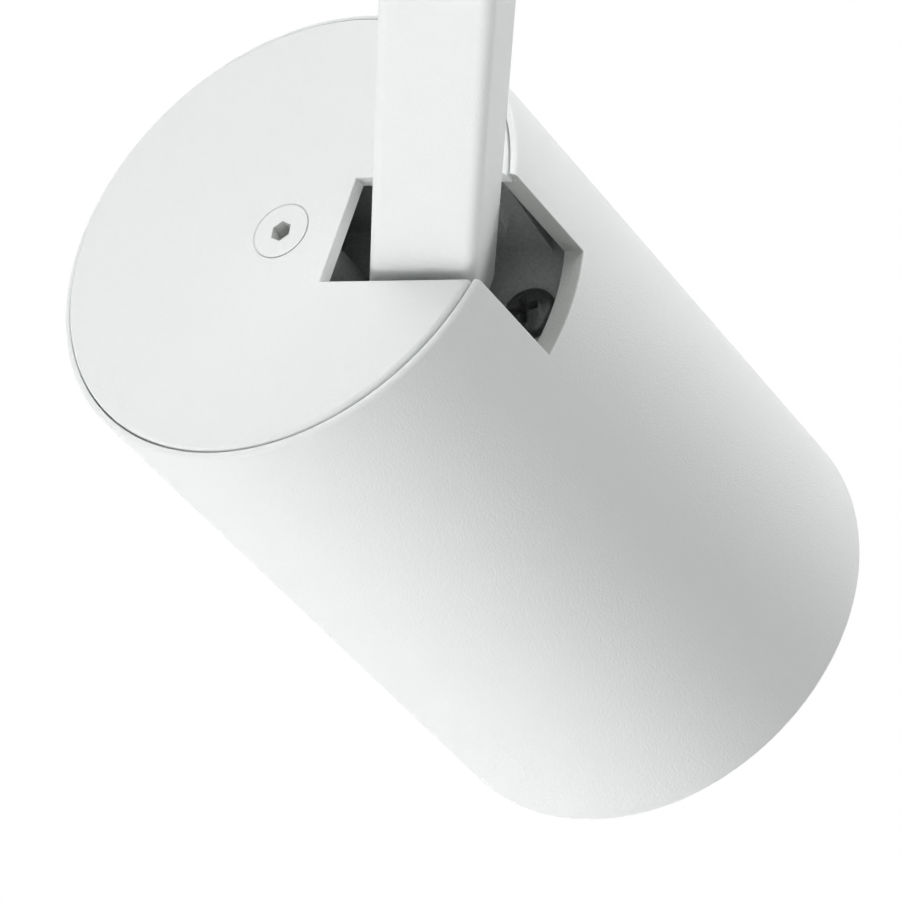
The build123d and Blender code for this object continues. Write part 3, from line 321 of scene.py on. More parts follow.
# %% Clear glass
def make_glass():
    """Clear glass with a faint smear about 12 mm wide."""
    material, tree, output, place = new_surface("glass_clear_polished")
    smear = add_node(tree, "ShaderNodeTexNoise", Vector=place, Scale=grain_scale(12), Detail=2.0)
    level = smear.outputs["Fac"]
    gloss = add_node(tree, "ShaderNodeMapRange", Value=level, To_Min=0.0, To_Max=0.03)
    shader = add_node(
        tree,
        "ShaderNodeBsdfPrincipled",
        Base_Color=linear_rgb("#F7FBFA"),
        Roughness=gloss.outputs["Result"],
        IOR=1.52,
        Transmission_Weight=1.0,
    )
    tree.links.new(shader.outputs["BSDF"], output.inputs["Surface"])
    return material


clear_glass = make_glass()
print("made", clear_glass.name)

# %% [markdown]
# ## Which piece wears which finish
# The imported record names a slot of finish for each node. Materials could be set piece by piece, but
# a table from slot to material forgets none and says in one place what the object is made of.

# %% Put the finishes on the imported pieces
FINISHES = {
    "white_powder_coat": powder_coat,
    "galvanised_steel": zinc_plate,
    "black_rubber": black_rubber,
    "grey_nylon": grey_nylon,
    "driver_case": white_plastic,
    "terminal_plastic": white_plastic,
    "cast_aluminium": cast_aluminium,
    "dark_steel": black_steel,
    "plain_steel": turned_steel,
    "extruded_aluminium": milled_aluminium,
    "silicone_pad": heat_pad,
    "board_aluminium": milled_aluminium,
    "phosphor": phosphor,
    "white_plastic": white_plastic,
    "polished_reflector": mirror_coat,
    "clear_glass": clear_glass,
    "black_baffle": black_plastic,
}
for row in frame["record"]["subparts"]:
    node = frame["nodes"][row["node"]]
    node.data.materials.clear()
    node.data.materials.append(FINISHES[row["material_slot"]])
print("dressed", len(frame["nodes"]), "pieces")

# %% [markdown]
# ## The head's own frame
# The head hangs tilted. It could be drawn in place, with every point turned by the tilt, but
# upright it is far easier. So each of its pieces is drawn with the rear face at height 0, the axis
# along Z and the slot towards +X, and one matrix hangs it on the pin.

# %% From the head's own frame to the model's
REST_TILT = radians(32.5)
PIN_FROM_AXIS = 17.5
PIN_UNDER_REAR_FACE = 11.0
HEAD_PLACE = (
    Matrix.Translation(TILT_PIN)
    @ Matrix.Rotation(-REST_TILT, 4, "Y")
    @ Matrix.Translation(Vector((-PIN_FROM_AXIS, 0, PIN_UNDER_REAR_FACE)) * MM)
    @ Matrix.Scale(MM, 4)
)
print("middle of the rear face:", [round(v, 4) for v in HEAD_PLACE.translation])

# %% [markdown]
# ## From a mesh to a piece of the model
# On the real light every edge is a little soft and every face is flat or truly round. Flat shading
# would show each quad, and smooth shading alone would make flat faces swell towards their edges. So
# a piece gets smooth shading, sharp edges where the angle is large, and normals weighted by face
# area.

# %% Make a piece
SHARP_ANGLE = radians(35)
MERGE_DISTANCE = 1e-5


def add_piece(name, mesh, body, finish, replaced, place=None):
    """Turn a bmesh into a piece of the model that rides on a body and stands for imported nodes."""
    bmesh.ops.remove_doubles(mesh, verts=mesh.verts, dist=MERGE_DISTANCE)
    bmesh.ops.recalc_face_normals(mesh, faces=mesh.faces)
    mesh.transform(place or Matrix.Scale(MM, 4))
    data = bpy.data.meshes.new(name)
    mesh.to_mesh(data)
    mesh.free()
    data.shade_smooth()
    data.set_sharp_from_angle(angle=SHARP_ANGLE)
    data.materials.append(finish)
    piece = bpy.data.objects.new(name, data)
    bpy.context.scene.collection.objects.link(piece)
    weighted = piece.modifiers.new("flat faces stay flat", "WEIGHTED_NORMAL")
    weighted.keep_sharp = True
    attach(piece, body)
    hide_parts(*replaced)
    print(name, "has", len(data.polygons), "faces")
    return piece


print("edges over", round(SHARP_ANGLE * 180 / pi), "degrees stay sharp")

# %% [markdown]
# ## The housing
# On the real light this is a turned aluminium tube: a thin lip round the cap, a rounded rear rim,
# and a slot milled through the wall for the arm. First come its sizes and its profile, which is the
# line that a lathe would follow. The profile is in two parts, above and below the slot's lower end.
# The lip sits a little lower than the cap, so the cap shows its own edge towards the camera and
# hides the seam on the far side.

# %% Profile of the housing
HEAD_RADIUS = 35.0
HEAD_LENGTH = 104.5
REAR_BORE = 32.0
MIDDLE_BORE = 30.8
FRONT_BORE = 32.3
LIP_BORE = 34.1
LIP_DEPTH = 2.0
LIP_SUNK = 0.3
SINK_FACE_DEPTH = 60.3
FLANGE_SEAT_DEPTH = 82.3
REAR_RIM_ROUND = 0.7
FRONT_RIM_ROUND = 1.3
FRONT_RIM_STEPS = 10
OUTSIDE_RINGS = (0.66, 0.33)  # shares of the length at which the outside has a ring
SLOT_DEPTH = 19.2
EDGE_STEPS = 8


def rounded_edge(radius, steps):
    """Inset and drop along a quarter round, from the flat face to the upright side."""
    for step in range(steps + 1):
        turn = pi / 2 * step / steps
        yield radius * (1 - sin(turn)), radius * (1 - cos(turn))


def housing_profiles():
    """Radius and height round the wall: above the slot's lower end, and below it."""
    above = [(HEAD_RADIUS, -SLOT_DEPTH), (HEAD_RADIUS, -SLOT_DEPTH / 2)]
    rear_rim = rounded_edge(REAR_RIM_ROUND, EDGE_STEPS)
    above += reversed([(HEAD_RADIUS - inset, -LIP_SUNK - drop) for inset, drop in rear_rim])
    above += [
        (LIP_BORE, -LIP_SUNK),
        (LIP_BORE, -LIP_DEPTH),
        (REAR_BORE, -LIP_DEPTH),
        (REAR_BORE, -SLOT_DEPTH),
    ]
    below = [
        (REAR_BORE, -SLOT_DEPTH),
        (REAR_BORE, -SINK_FACE_DEPTH),
        (MIDDLE_BORE, -SINK_FACE_DEPTH),
        (MIDDLE_BORE, -FLANGE_SEAT_DEPTH),
        (FRONT_BORE, -FLANGE_SEAT_DEPTH),
        (FRONT_BORE, -HEAD_LENGTH),
    ]
    front_rim = rounded_edge(FRONT_RIM_ROUND, FRONT_RIM_STEPS)
    below += [(HEAD_RADIUS - inset, -HEAD_LENGTH + drop) for inset, drop in front_rim]
    below += [(HEAD_RADIUS, -share * HEAD_LENGTH) for share in OUTSIDE_RINGS]
    below.append((HEAD_RADIUS, -SLOT_DEPTH))
    return above, below


print("points in the two profiles:", [len(profile) for profile in housing_profiles()])

# %% [markdown]
# ## The housing's wall and slot
# A boolean could cut the slot out of a finished tube, but it would spoil the even quads beside it.
# Instead columns of quads run round the wall, and they are spaced so that one column edge lies on
# each side of the slot at every radius: the slot's walls come out flat, and the wall stays round.
# The faces cut by the mill wear the thin coat, which is also painted shade on the slot's walls and floor.
# A bevel modifier then breaks every sharp edge, as the sprayed paint does.

# %% Housing
WALL_COLUMNS, SLOT_COLUMNS = 176, 14
SLOT_SIDES = (-7.9, 8.1)
PAINT_EDGE = 0.18
# index of the darker coat: a thin coat, and painted shade in the slot and the socket
THIN_COAT_AND_SHADE_INDEX = 1


def wall_column(mesh, profile, share, in_slot):
    """Points of a profile at a share of the way across the slot, or round the rest of the wall."""
    points = []
    for radius, height in profile:
        near, far = (asin(side / radius) for side in SLOT_SIDES)
        turn = near + (far - near) * share if in_slot else far + (2 * pi + near - far) * share
        points.append(mesh.verts.new((radius * cos(turn), radius * sin(turn), height)))
    return points


def join_columns(mesh, columns):
    """Fill each gap between two neighbouring columns with quads."""
    for left, right in zip(columns, columns[1:]):
        for index in range(len(left) - 1):
            mesh.faces.new((left[index], right[index], right[index + 1], left[index + 1]))


def make_housing():
    """The wall above and below the slot's lower end, and the faces that the mill cut."""
    above, below = housing_profiles()
    mesh = bmesh.new()
    round_wall = [index / WALL_COLUMNS for index in range(WALL_COLUMNS + 1)]
    across_slot = [index / SLOT_COLUMNS for index in range(SLOT_COLUMNS + 1)]
    upper = [wall_column(mesh, above, share, False) for share in round_wall]
    join_columns(mesh, upper)
    join_columns(mesh, [wall_column(mesh, below, share, False) for share in round_wall])
    bridge = [wall_column(mesh, below, share, True) for share in across_slot]
    join_columns(mesh, bridge)
    # The slot's walls and floor get the darker coat: a thin coat and painted shade.
    cut_faces = []
    for left, right in zip(bridge, bridge[1:]):
        cut_faces.append(mesh.faces.new((left[0], right[0], right[-1], left[-1])))
    cut_faces += [mesh.faces.new(upper[0]), mesh.faces.new(reversed(upper[-1]))]
    for face in cut_faces:
        face.material_index = THIN_COAT_AND_SHADE_INDEX
    return mesh


def break_edges(piece, width_mm, angle=50):
    """Round every sharp edge by one width, as paint does."""
    bevel = piece.modifiers.new("paint on the edges", "BEVEL")
    bevel.limit_method = "ANGLE"
    bevel.angle_limit = radians(angle)
    bevel.width = width_mm * MM
    bevel.segments = 3
    bevel.use_clamp_overlap = False
    bevel.harden_normals = True
    piece.modifiers.move(len(piece.modifiers) - 1, 0)


housing = add_piece(
    "housing_shell",
    make_housing(),
    "head",
    powder_coat,
    ["head_housing"],
    HEAD_PLACE,
)
# The second material is the thin coat, which is also painted shade in the slot.
housing.data.materials.append(thin_coat_and_painted_shade)
break_edges(housing, PAINT_EDGE)

# %% [markdown]
# ## Pieces from rings of points
# A turned or milled piece could be cut from a cylinder with booleans, but they leave long thin
# faces round each cut. Here it is a stack of closed rings, each with as many points as the next,
# joined by quads. A ring may be a circle, a hexagon, a cross or the outline of the cap, so a socket
# or a driver recess grows out of a round head without any cutting.

# %% Rings


def circle(radius, height, count):
    """Ring of points round the Z axis."""
    turns = [2 * pi * index / count for index in range(count)]
    return [(radius * cos(turn), radius * sin(turn), height) for turn in turns]


def stack_rings(mesh, rings, close_first=False, close_last=False):
    """Join rings of equally many points by quads, and close the ends with a face if asked."""
    levels = [[mesh.verts.new(point) for point in ring] for ring in rings]
    for low, high in zip(levels, levels[1:]):
        for index in range(len(low)):
            after = (index + 1) % len(low)
            mesh.faces.new((low[index], low[after], high[after], high[index]))
    if close_first:
        mesh.faces.new(reversed(levels[0]))
    if close_last:
        mesh.faces.new(levels[-1])
    return levels


print("a ring of", len(circle(1.0, 0.0, 6)), "points could be a nut")

# %% [markdown]
# ## The rear cap
# A flat plate, stamped or turned, with a softly rounded edge, a notch for the arm, a countersink
# for its screw and two pegs that keep it from turning. A bevel would round all its edges alike, but
# the rim is rounder than the notch. So its outline is drawn several times, each time a little
# further out and lower. A face can't have a hole in it, so triangles fill the flat between outline
# and hole.

# %% Outline of the cap
CAP_RADIUS = 33.85
CAP_THICKNESS = 2.0
CAP_EDGE_ROUND = 0.6
CAP_PLACE = HEAD_PLACE @ Matrix.Translation((0, 0, LIP_SUNK))
NOTCH_START = 9.05
NOTCH_SIDES = (-8.35, 7.85)
ARC_POINTS, SIDE_POINTS, END_POINTS = 220, 24, 10
SIDE_CROWDING = 1.6  # over 1, the points crowd towards the rim


def cap_ring(rim_inset, rim_drop, notch_inset, notch_drop):
    """Outline of the cap, moved in and down by different amounts on rim and notch."""
    radius, start = CAP_RADIUS - rim_inset, NOTCH_START - notch_inset
    near, far = NOTCH_SIDES[0] - notch_inset, NOTCH_SIDES[1] + notch_inset
    first, last = asin(far / radius), 2 * pi + asin(near / radius)
    ring = []
    for index in range(ARC_POINTS + 1):
        turn = first + (last - first) * index / ARC_POINTS
        ring.append((radius * cos(turn), radius * sin(turn), -rim_drop))
    inward = [(index / SIDE_POINTS) ** SIDE_CROWDING for index in range(1, SIDE_POINTS + 1)]
    for share in inward:
        x = radius * cos(last) + (start - radius * cos(last)) * share
        ring.append((x, near, -notch_drop))
    for index in range(1, END_POINTS):
        ring.append((start, near + (far - near) * index / END_POINTS, -notch_drop))
    for share in reversed(inward):
        x = radius * cos(first) + (start - radius * cos(first)) * share
        ring.append((x, far, -notch_drop))
    return ring


print("points in the cap's outline:", len(cap_ring(0, 0, 0, 0)))

# %% [markdown]
# ## The cap's countersink and pegs
# A countersink is a cone that lets a screw sit flush. It is a stack of circles like the rest, and
# its centre lies 0.4 mm off the cap's middle, as in the photograph. The flat faces above and below
# are filled between the outline and the cone. The pegs are small turned pins underneath.

# %% Rear cap
COUNTERSINK_RADIUS = 4.28
COUNTERSINK_FOOT = 2.25
COUNTERSINK_CENTRE = (-0.3, -0.28)
COUNTERSINK_POINTS = 72
MACHINED_EDGE = 0.12
CORNER_STEPS = 4
PEG_PLACES = ((-8.0, -15.05), (-8.0, 15.05))
PEG_RADIUS, PEG_LENGTH, PEG_CHAMFER = 2.0, 4.0, 0.4
PEG_POINTS = 32


def moved(rings, x, y, z=0.0):
    """The same rings in another place."""
    return [[(px + x, py + y, pz + z) for px, py, pz in ring] for ring in rings]


def add_pegs(mesh):
    """Two chamfered pegs under the cap."""
    profile = [
        (PEG_RADIUS, 0),
        (PEG_RADIUS, PEG_LENGTH - PEG_CHAMFER),
        (PEG_RADIUS - PEG_CHAMFER, PEG_LENGTH),
    ]
    for place in PEG_PLACES:
        peg = [circle(radius, -CAP_THICKNESS - drop, PEG_POINTS) for radius, drop in profile]
        stack_rings(mesh, moved(peg, *place), close_last=True)


def make_cap():
    """The cap with its notch, its countersink and its pegs."""
    mesh = bmesh.new()
    rim = rounded_edge(CAP_EDGE_ROUND, EDGE_STEPS)
    notch = rounded_edge(PAINT_EDGE, EDGE_STEPS)
    rings = [cap_ring(*rim_step, *notch_step) for rim_step, notch_step in zip(rim, notch)]
    rings.append(cap_ring(0, CAP_THICKNESS, 0, CAP_THICKNESS))
    outside = stack_rings(mesh, rings)
    sink = []
    for inset, drop in rounded_edge(MACHINED_EDGE, CORNER_STEPS):
        sink.append(circle(COUNTERSINK_RADIUS + inset, -drop, COUNTERSINK_POINTS))
    sink.append(circle(COUNTERSINK_FOOT, -CAP_THICKNESS, COUNTERSINK_POINTS))
    inside = stack_rings(mesh, moved(sink, *COUNTERSINK_CENTRE))
    for level in (0, -1):
        borders = []
        for ring in (outside[level], inside[level]):
            borders += [mesh.edges.get(pair) for pair in zip(ring, ring[1:] + ring[:1])]
        bmesh.ops.triangle_fill(mesh, edges=borders, use_beauty=True)
    add_pegs(mesh)
    return mesh


add_piece(
    "rear_cap_plate",
    make_cap(),
    "head",
    powder_coat,
    ["rear_cap"],
    CAP_PLACE,
)

# %% [markdown]
# ## The cap's screw
# A countersunk hex socket screw, painted with the cap. Its socket could be cut with a boolean, but
# here the rings turn from round to six-sided on their way down, so the socket's walls stay flat and
# its mouth gets a small lead-in. Little paint reaches the walls of the socket, and their darker coat
# is also painted shade down in the recess.

# %% Cap screw
CAP_SCREW_RADIUS = 4.12
CAP_SCREW_SHANK = 2.0
CAP_SCREW_LENGTH = 12.0
CAP_SCREW_POINTS = 96
CAP_SCREW_INNER_RING = 0.6  # share of the radius, between the edge and the socket
CAP_SOCKET_FLATS = 2.65
CAP_SOCKET_TURN = radians(-20)
CAP_SOCKET_DEPTH = 2.3
CAP_SOCKET_FLOOR = (0.15, 2.7)  # radius and depth of the drill's point
CAP_SOCKET_MOUTH = ((1.16, 0.0), (1.05, 0.05), (1.0, 0.16))  # share of the flats, and depth
# a face belongs to the socket within this share of the flats, and between these heights
CAP_SOCKET_REACH = 0.62
CAP_SOCKET_HEIGHTS = (-3.0, -0.06)


def hexagon(flats, height, count, turn):
    """Six-sided ring with points at even angles."""
    ring = []
    for index in range(count):
        angle = 2 * pi * index / count
        across = (angle % (pi / 3)) - pi / 6
        radius = flats / 2 / cos(across)
        ring.append((radius * cos(angle + turn), radius * sin(angle + turn), height))
    return ring


def in_socket(face):
    """Whether a face of the screw lies inside its socket."""
    middle = face.calc_center_median()
    low, high = CAP_SOCKET_HEIGHTS
    return middle.to_2d().length < CAP_SOCKET_REACH * CAP_SOCKET_FLATS and low < middle.z < high


def make_cap_screw():
    """The cap's screw, from the tip of its shank up to its head and down into its socket."""
    count = CAP_SCREW_POINTS
    mesh = bmesh.new()
    cone_foot = CAP_SCREW_SHANK - CAP_SCREW_RADIUS
    rings = [circle(CAP_SCREW_SHANK, height, count) for height in (-CAP_SCREW_LENGTH, cone_foot)]
    edge = list(rounded_edge(MACHINED_EDGE, CORNER_STEPS))
    rings += [circle(CAP_SCREW_RADIUS - inset, -drop, count) for inset, drop in reversed(edge)]
    rings.append(circle(CAP_SCREW_INNER_RING * CAP_SCREW_RADIUS, 0, count))
    for share, depth in (*CAP_SOCKET_MOUTH, (1.0, CAP_SOCKET_DEPTH)):
        rings.append(hexagon(CAP_SOCKET_FLATS * share, -depth, count, CAP_SOCKET_TURN))
    floor_radius, floor_depth = CAP_SOCKET_FLOOR
    rings.append(circle(floor_radius, -floor_depth, count))
    stack_rings(mesh, rings, close_first=True, close_last=True)
    # Faces inside the socket get the darker coat: thin paint, and painted shade in the recess.
    for face in mesh.faces:
        face.material_index = THIN_COAT_AND_SHADE_INDEX if in_socket(face) else 0
    return mesh


cap_screw = add_piece(
    "cap_screw_painted",
    make_cap_screw(),
    "head",
    powder_coat,
    ["cap_screw"],
    CAP_PLACE @ Matrix.Translation((*COUNTERSINK_CENTRE, 0)),
)
cap_screw.data.materials.append(thin_coat_and_painted_shade)

# %% [markdown]
# ## The cross-recess screws
# Three screws of black oxide steel hold the casting in the head, and one of them shows in the slot.
# On a real one a punch forms the recess in a low dome. Again no cutting is needed: the rings turn
# from round to a cross with four wings that narrows as it goes down. Each screw stops at its own
# angle, as real ones do when they are tightened.

# %% Cross-recess screws in the casting
CROSS_SCREW_RADIUS = 4.05
CROSS_SCREW_HEIGHT = 2.0
CROSS_SCREW_SHANK = 2.0
CROSS_SCREW_LENGTH = 12.0
CROSS_SCREW_POINTS = 144
CROSS_SCREW_CIRCLE = 26.5
CROSS_SCREW_TURNS = (0.35, 1.1, 0.7)
CASTING_FLOOR = -22.3
# half length and half width of the wings, and height as a share of the head's
CROSS_WINGS = ((2.35, 0.62, 0.97), (2.22, 0.50, 0.88), (1.45, 0.36, 0.30))
CROSS_FLOOR = (0.3, 0.15)  # radius, and height as a share of the head's
DOME_STEPS = 10
DOME_SIDE, DOME_RISE = 0.18, 0.82  # shares of the head's height: its side, and the dome over it
DOME_FULLNESS = 0.8  # under 1, the dome is fuller than a ball
DOME_END = 0.62  # the dome stops at this share of the head's radius, where the recess begins


def cross(reach, half_width, height, count, turn):
    """Ring in the shape of a cross with four wings."""
    ring = []
    for index in range(count):
        angle = 2 * pi * index / count
        across = (angle + pi / 4) % (pi / 2) - pi / 4
        radius = min(reach / cos(across), half_width / max(abs(sin(across)), 1e-6))
        ring.append((radius * cos(angle + turn), radius * sin(angle + turn), height))
    return ring


def dome_profile():
    """Radius and height of the head, from its side to where the recess begins."""
    for step in range(DOME_STEPS + 1):
        rise = pi / 2 * step / DOME_STEPS
        radius = CROSS_SCREW_RADIUS * cos(rise) ** DOME_FULLNESS
        if radius > DOME_END * CROSS_SCREW_RADIUS:
            yield radius, CROSS_SCREW_HEIGHT * (DOME_SIDE + DOME_RISE * sin(rise))


def add_cross_screw(mesh, centre, turn):
    """One domed screw, with its recess turned by an angle."""
    count, top = CROSS_SCREW_POINTS, CROSS_SCREW_HEIGHT
    rings = [circle(CROSS_SCREW_SHANK, height, count) for height in (-CROSS_SCREW_LENGTH, 0)]
    rings.append(circle(CROSS_SCREW_RADIUS, 0, count))
    rings += [circle(radius, height, count) for radius, height in dome_profile()]
    rings += [cross(reach, half, share * top, count, turn) for reach, half, share in CROSS_WINGS]
    floor_radius, floor_share = CROSS_FLOOR
    rings.append(circle(floor_radius, floor_share * top, count))
    stack_rings(mesh, moved(rings, *centre), close_first=True, close_last=True)


cross_screws = bmesh.new()
for index, turn in enumerate(CROSS_SCREW_TURNS):
    around = 2 * pi * index / len(CROSS_SCREW_TURNS)
    x, y = CROSS_SCREW_CIRCLE * cos(around), CROSS_SCREW_CIRCLE * sin(around)
    add_cross_screw(cross_screws, Vector((x, y, CASTING_FLOOR)), turn)
add_piece(
    "casting_screws_domed",
    cross_screws,
    "head",
    black_steel,
    ["cradle_screws"],
    HEAD_PLACE,
)

# %% [markdown]
# ## The arm
# A rectangular aluminium tube with softly rounded edges, pressed through a die, cut to length and
# then coated. A cube with bevels could stand for it, but the tube is hollow, and its lower end has
# tighter corners than its long edges. So it is a stack of rounded rectangles. This cell draws one
# such ring, and works out how far the lower end has turned in at each height.

# %% Rings of the arm
RECTANGLE_CORNER_STEPS = 10
RECTANGLE_SIDE_STEPS = 3


def rounded_rectangle(half_x, half_y, corner, height):
    """Ring of points round a rectangle with rounded corners."""
    ring = []
    x, y = half_x - corner, half_y - corner
    middles = [(x, y), (-x, y), (-x, -y), (x, -y)]
    for quarter, (x, y) in enumerate(middles):
        for step in range(RECTANGLE_CORNER_STEPS + 1):
            turn = pi / 2 * (quarter + step / RECTANGLE_CORNER_STEPS)
            ring.append((x + corner * cos(turn), y + corner * sin(turn), height))
        start, (next_x, next_y) = ring[-1], middles[(quarter + 1) % 4]
        turn = pi / 2 * (quarter + 1)
        goal = (next_x + corner * cos(turn), next_y + corner * sin(turn))
        for step in range(1, RECTANGLE_SIDE_STEPS):
            share = step / RECTANGLE_SIDE_STEPS
            along = [a + (b - a) * share for a, b in zip(start, goal)]
            ring.append((*along, height))
    return ring


def turned_in(radius, rise):
    """How far a rounded corner has turned in, at a height over the end."""
    return 0.0 if rise >= radius else radius - sqrt(radius**2 - (radius - rise) ** 2)


print("points round the arm:", len(rounded_rectangle(7, 6, 2, 0)))

# %% [markdown]
# ## The arm's outside and inside
# The rings run down the outside from the neck under the base, round the lower corners to just past
# the tilt pin, and up the inside again. The last ring is joined to the first, so the wall has its
# real thickness and the mesh has no open edge.

# %% Arm
ARM_HALF_X, ARM_HALF_Y = 7.25, 6.5
ARM_EDGE_ROUND = 1.8
ARM_INNER_ROUND = 0.4
ARM_WALL = 1.6
ARM_TOP = -37.05
ARM_LOW_CORNER = 1.5
ARM_LOW_EDGE = 0.8
ARM_LOW_STEPS = 12


def make_arm():
    """The tube from the neck down to its lower end, and back up inside."""
    low = TILT_PIN.z / MM - ARM_HALF_X
    heights = [ARM_TOP, (ARM_TOP + low) / 2, low + ARM_LOW_CORNER]
    for step in range(1, ARM_LOW_STEPS + 1):
        heights.append(low + ARM_LOW_CORNER * (1 - sin(pi / 2 * step / ARM_LOW_STEPS)))
    rings = []
    for height in heights:
        half_x = ARM_HALF_X - turned_in(ARM_LOW_CORNER, height - low)
        half_y = ARM_HALF_Y - turned_in(ARM_LOW_EDGE, height - low)
        rings.append(rounded_rectangle(half_x, half_y, ARM_EDGE_ROUND, height))
    opening = (ARM_HALF_X - ARM_LOW_CORNER, ARM_HALF_Y - ARM_WALL, ARM_INNER_ROUND)
    bore = (ARM_HALF_X - ARM_WALL, ARM_HALF_Y - ARM_WALL, ARM_INNER_ROUND)
    rings += [rounded_rectangle(*opening, low), rounded_rectangle(*opening, low + ARM_WALL)]
    rings += [rounded_rectangle(*bore, low + ARM_WALL), rounded_rectangle(*bore, ARM_TOP)]
    mesh = bmesh.new()
    stack_rings(mesh, rings + rings[:1])
    return mesh


add_piece("arm_tube_rounded", make_arm(), "arm", powder_coat, ["arm_tube"])

# %% [markdown]
# ## The board under the head
# Product photographs are taken over a white board, which throws light back into the shadows. A lamp
# from below could do that too, but a board takes its colour and strength from the lamps above it,
# as the real one does. In a studio it lies just outside the picture, so here the camera doesn't see
# it.

# %% Board under the head
BOARD_SIZE = 6.0
BOARD_DROP = 0.75


def make_board():
    """A matt white foam board in metres, with clouds of about 300 mm in its white."""
    material, tree, output, place = new_surface("foam_board_white_matt")
    cloud = add_node(tree, "ShaderNodeTexNoise", Vector=place, Scale=grain_scale(300), Detail=1.0)
    tint = add_node(tree, "ShaderNodeValToRGB", Fac=cloud.outputs["Fac"])
    tint.color_ramp.elements[0].color = linear_rgb("#F7F7F7")
    tint.color_ramp.elements[1].color = linear_rgb("#FBFBFB")
    paint = tint.outputs["Color"]
    shader = add_node(tree, "ShaderNodeBsdfPrincipled", Base_Color=paint, Roughness=0.8)
    tree.links.new(shader.outputs["BSDF"], output.inputs["Surface"])
    sheet = bmesh.new()
    bmesh.ops.create_grid(sheet, x_segments=8, y_segments=8, size=BOARD_SIZE / 2)
    mesh = bpy.data.meshes.new("bounce_board")
    sheet.to_mesh(mesh)
    sheet.free()
    mesh.materials.append(material)
    board = bpy.data.objects.new("bounce_board", mesh)
    board.location = (0, 0, -BOARD_DROP)
    board.visible_camera = False
    bpy.context.scene.collection.objects.link(board)


make_board()
print("board", BOARD_DROP, "m under the ceiling face")

# %% [markdown]
# ## The cove
# A cove is a studio wall that meets the floor in a wide bend, so that no corner shows. The
# photograph's background is pure white. A floor lit as bright as that would wash out the head, so
# the cove glows by itself and neither lights nor shades the head. Its floor is white, and its wall
# turns to pale grey higher up, so that the white head stands out from it in views from the side.

# %% Plaster of the cove
COVE_FLOOR = 3.0
COVE_GREY_HEIGHT = -1.0  # from this height up the wall is all grey
COVE_CLOUD_SHARE = 0.04


def make_plaster():
    """White plaster that turns pale grey from the floor up, with clouds 2.5 m wide."""
    material, tree, output, place = new_surface("plaster_white_painted_matt")
    parts = add_node(tree, "ShaderNodeSeparateXYZ", Vector=place)
    rise = add_node(
        tree,
        "ShaderNodeMapRange",
        Value=parts.outputs["Z"],
        From_Min=-COVE_FLOOR,
        From_Max=COVE_GREY_HEIGHT,
        To_Min=0.0,
        To_Max=1.0,
    )
    cloud = add_node(tree, "ShaderNodeTexNoise", Vector=place, Scale=grain_scale(2500), Detail=1.0)
    # The three inputs of this node share one name, so they are set by their number.
    level = add_node(tree, "ShaderNodeMath", {"operation": "MULTIPLY_ADD"})
    tree.links.new(cloud.outputs["Fac"], level.inputs[0])
    level.inputs[1].default_value = COVE_CLOUD_SHARE
    tree.links.new(rise.outputs["Result"], level.inputs[2])
    tint = add_node(tree, "ShaderNodeValToRGB", Fac=level.outputs["Value"])
    tint.color_ramp.elements[0].position, tint.color_ramp.elements[1].position = 0.06, 1.0
    tint.color_ramp.elements[0].color = linear_rgb("#FFFFFF")
    tint.color_ramp.elements[1].color = linear_rgb("#CFD2D4")
    glow = add_node(tree, "ShaderNodeEmission", Color=tint.outputs["Color"], Strength=1.0)
    tree.links.new(glow.outputs["Emission"], output.inputs["Surface"])
    return material


plaster = make_plaster()
print("made", plaster.name)

# %% [markdown]
# ## The shape of the cove
# In a studio the cove is often a bent sheet behind the object, but then it ends at its sides. This
# light is looked at from all round, so its cove is turned: a flat floor, a wide bend and a dome,
# drawn as one profile and stacked from circles like the turned pieces. Smooth shading hides its
# quads.

# %% Cove
COVE_RADIUS = 9.0
COVE_BEND = 2.5
BEND_STEPS = 12
DOME_RINGS = 16
AXIS_RADIUS = 1e-3
COVE_POINTS = 96


def cove_profile():
    """Radius and height over the floor: the floor, the bend and the dome."""
    flat = COVE_RADIUS - COVE_BEND
    yield from ((AXIS_RADIUS, 0.0), (flat / 2, 0.0), (flat, 0.0))
    for step in range(1, BEND_STEPS + 1):
        turn = pi / 2 / BEND_STEPS * step
        yield flat + COVE_BEND * sin(turn), COVE_BEND * (1 - cos(turn))
    for step in range(1, DOME_RINGS):
        turn = pi / 2 / DOME_RINGS * step
        yield COVE_RADIUS * cos(turn), COVE_BEND + COVE_RADIUS * sin(turn)
    yield AXIS_RADIUS, COVE_BEND + COVE_RADIUS


def make_cove():
    """The cove, which the camera sees, and which neither lights nor shades the object."""
    shell = bmesh.new()
    rings = [circle(radius, height - COVE_FLOOR, COVE_POINTS) for radius, height in cove_profile()]
    stack_rings(shell, rings)
    mesh = bpy.data.meshes.new("studio_cove")
    shell.to_mesh(mesh)
    shell.free()
    mesh.shade_smooth()
    mesh.materials.append(plaster)
    cove = bpy.data.objects.new("studio_cove", mesh)
    cove.visible_diffuse = cove.visible_glossy = cove.visible_shadow = False
    bpy.context.scene.collection.objects.link(cove)


make_cove()
print("cove", COVE_RADIUS, "m round the light, its floor", COVE_FLOOR, "m under the ceiling")

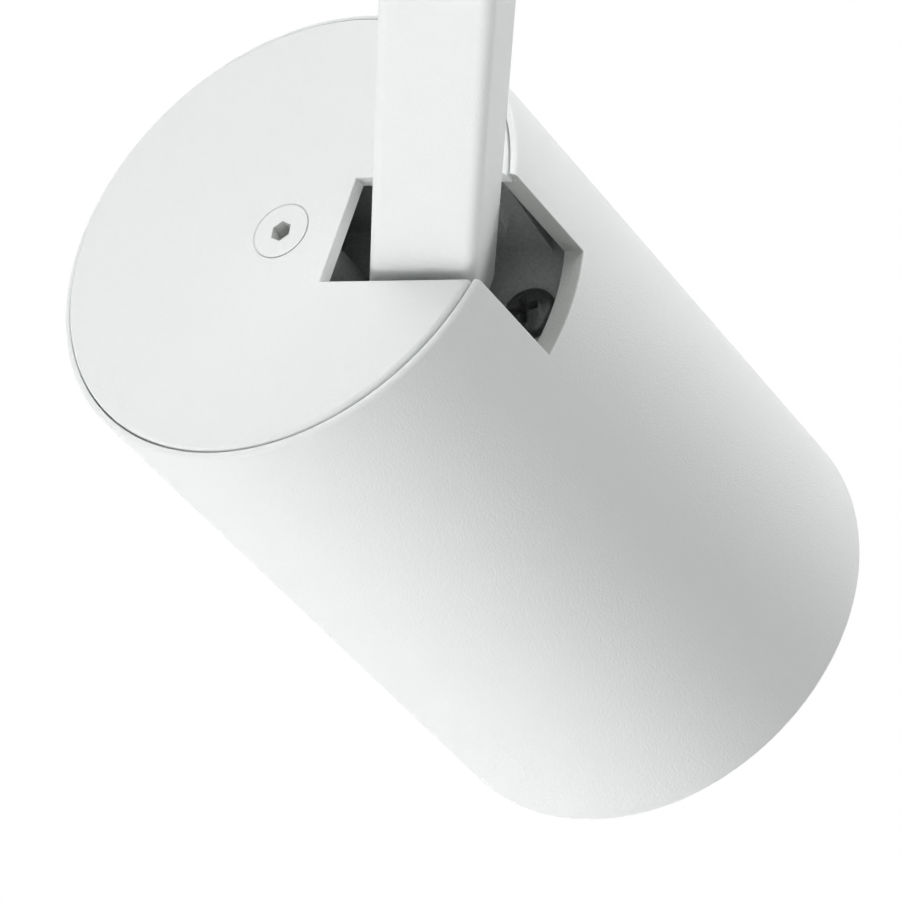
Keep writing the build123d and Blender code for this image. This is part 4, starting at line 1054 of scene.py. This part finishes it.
# %% [markdown]
# ## The light
# The photograph has soft grey shading and no hard shadow, so its lamps were large and near. Ten
# soft boxes stand round the head, almost as wide as they are far. The strongest are low on the
# left, high at the back on the left and low on the right. The side of the head between left and
# right faces none of these, and there lies the grey band. Their powers were fitted to the tones of
# the photograph. A sky of one brightness would be simpler, but it shades a round head evenly and
# loses that band.

# %% Soft boxes
SOFT_BOX_SIZE = 1.4
SOFT_BOX_DISTANCE = 1.6
# name: azimuth from +X towards +Y, elevation, power in watts
SOFT_BOXES = {
    "low_box_left": (240, 0, 16.93),
    "high_box_back_left": (150, 40, 14.68),
    "rim_box_right": (60, 0, 11.41),
    "under_box_front": (300, -15, 8.15),
    "high_box_back": (90, 40, 8.00),
    "high_box_front": (300, 60, 4.43),
    "under_box_left": (240, -15, 3.33),
    "high_box_right": (330, 40, 3.29),
    "rim_box_right_high": (60, 20, 2.87),
    "low_box_back": (150, 0, 2.45),
}


def add_soft_box(name, azimuth, elevation, power):
    """A square area light that looks at the middle of the head."""
    data = bpy.data.lights.new(name, "AREA")
    data.shape = "SQUARE"
    data.size = SOFT_BOX_SIZE
    data.energy = power
    light = bpy.data.objects.new(name, data)
    turn, rise = radians(azimuth), radians(elevation)
    outward = Vector((cos(turn) * cos(rise), sin(turn) * cos(rise), sin(rise)))
    light.location = TILT_PIN + outward * SOFT_BOX_DISTANCE
    light.rotation_mode = "QUATERNION"
    light.rotation_quaternion = outward.to_track_quat("Z", "Y")
    light.visible_camera = False
    bpy.context.scene.collection.objects.link(light)


for name, (azimuth, elevation, power) in SOFT_BOXES.items():
    add_soft_box(name, azimuth, elevation, power)
print("soft boxes:", sorted(SOFT_BOXES))

# %% [markdown]
# ## A dark room
# A studio is dark apart from its lamps, so the world gives no light of its own. The plain view
# transform shows every tone as it was computed, which keeps white as white as in the photograph.

# %% World and view
world = bpy.data.worlds.new("dark_studio")
world.use_nodes = True
world.node_tree.nodes["Background"].inputs["Strength"].default_value = 0.0
bpy.context.scene.world = world
bpy.context.scene.view_settings.view_transform = "Standard"
print("view transform:", bpy.context.scene.view_settings.view_transform)
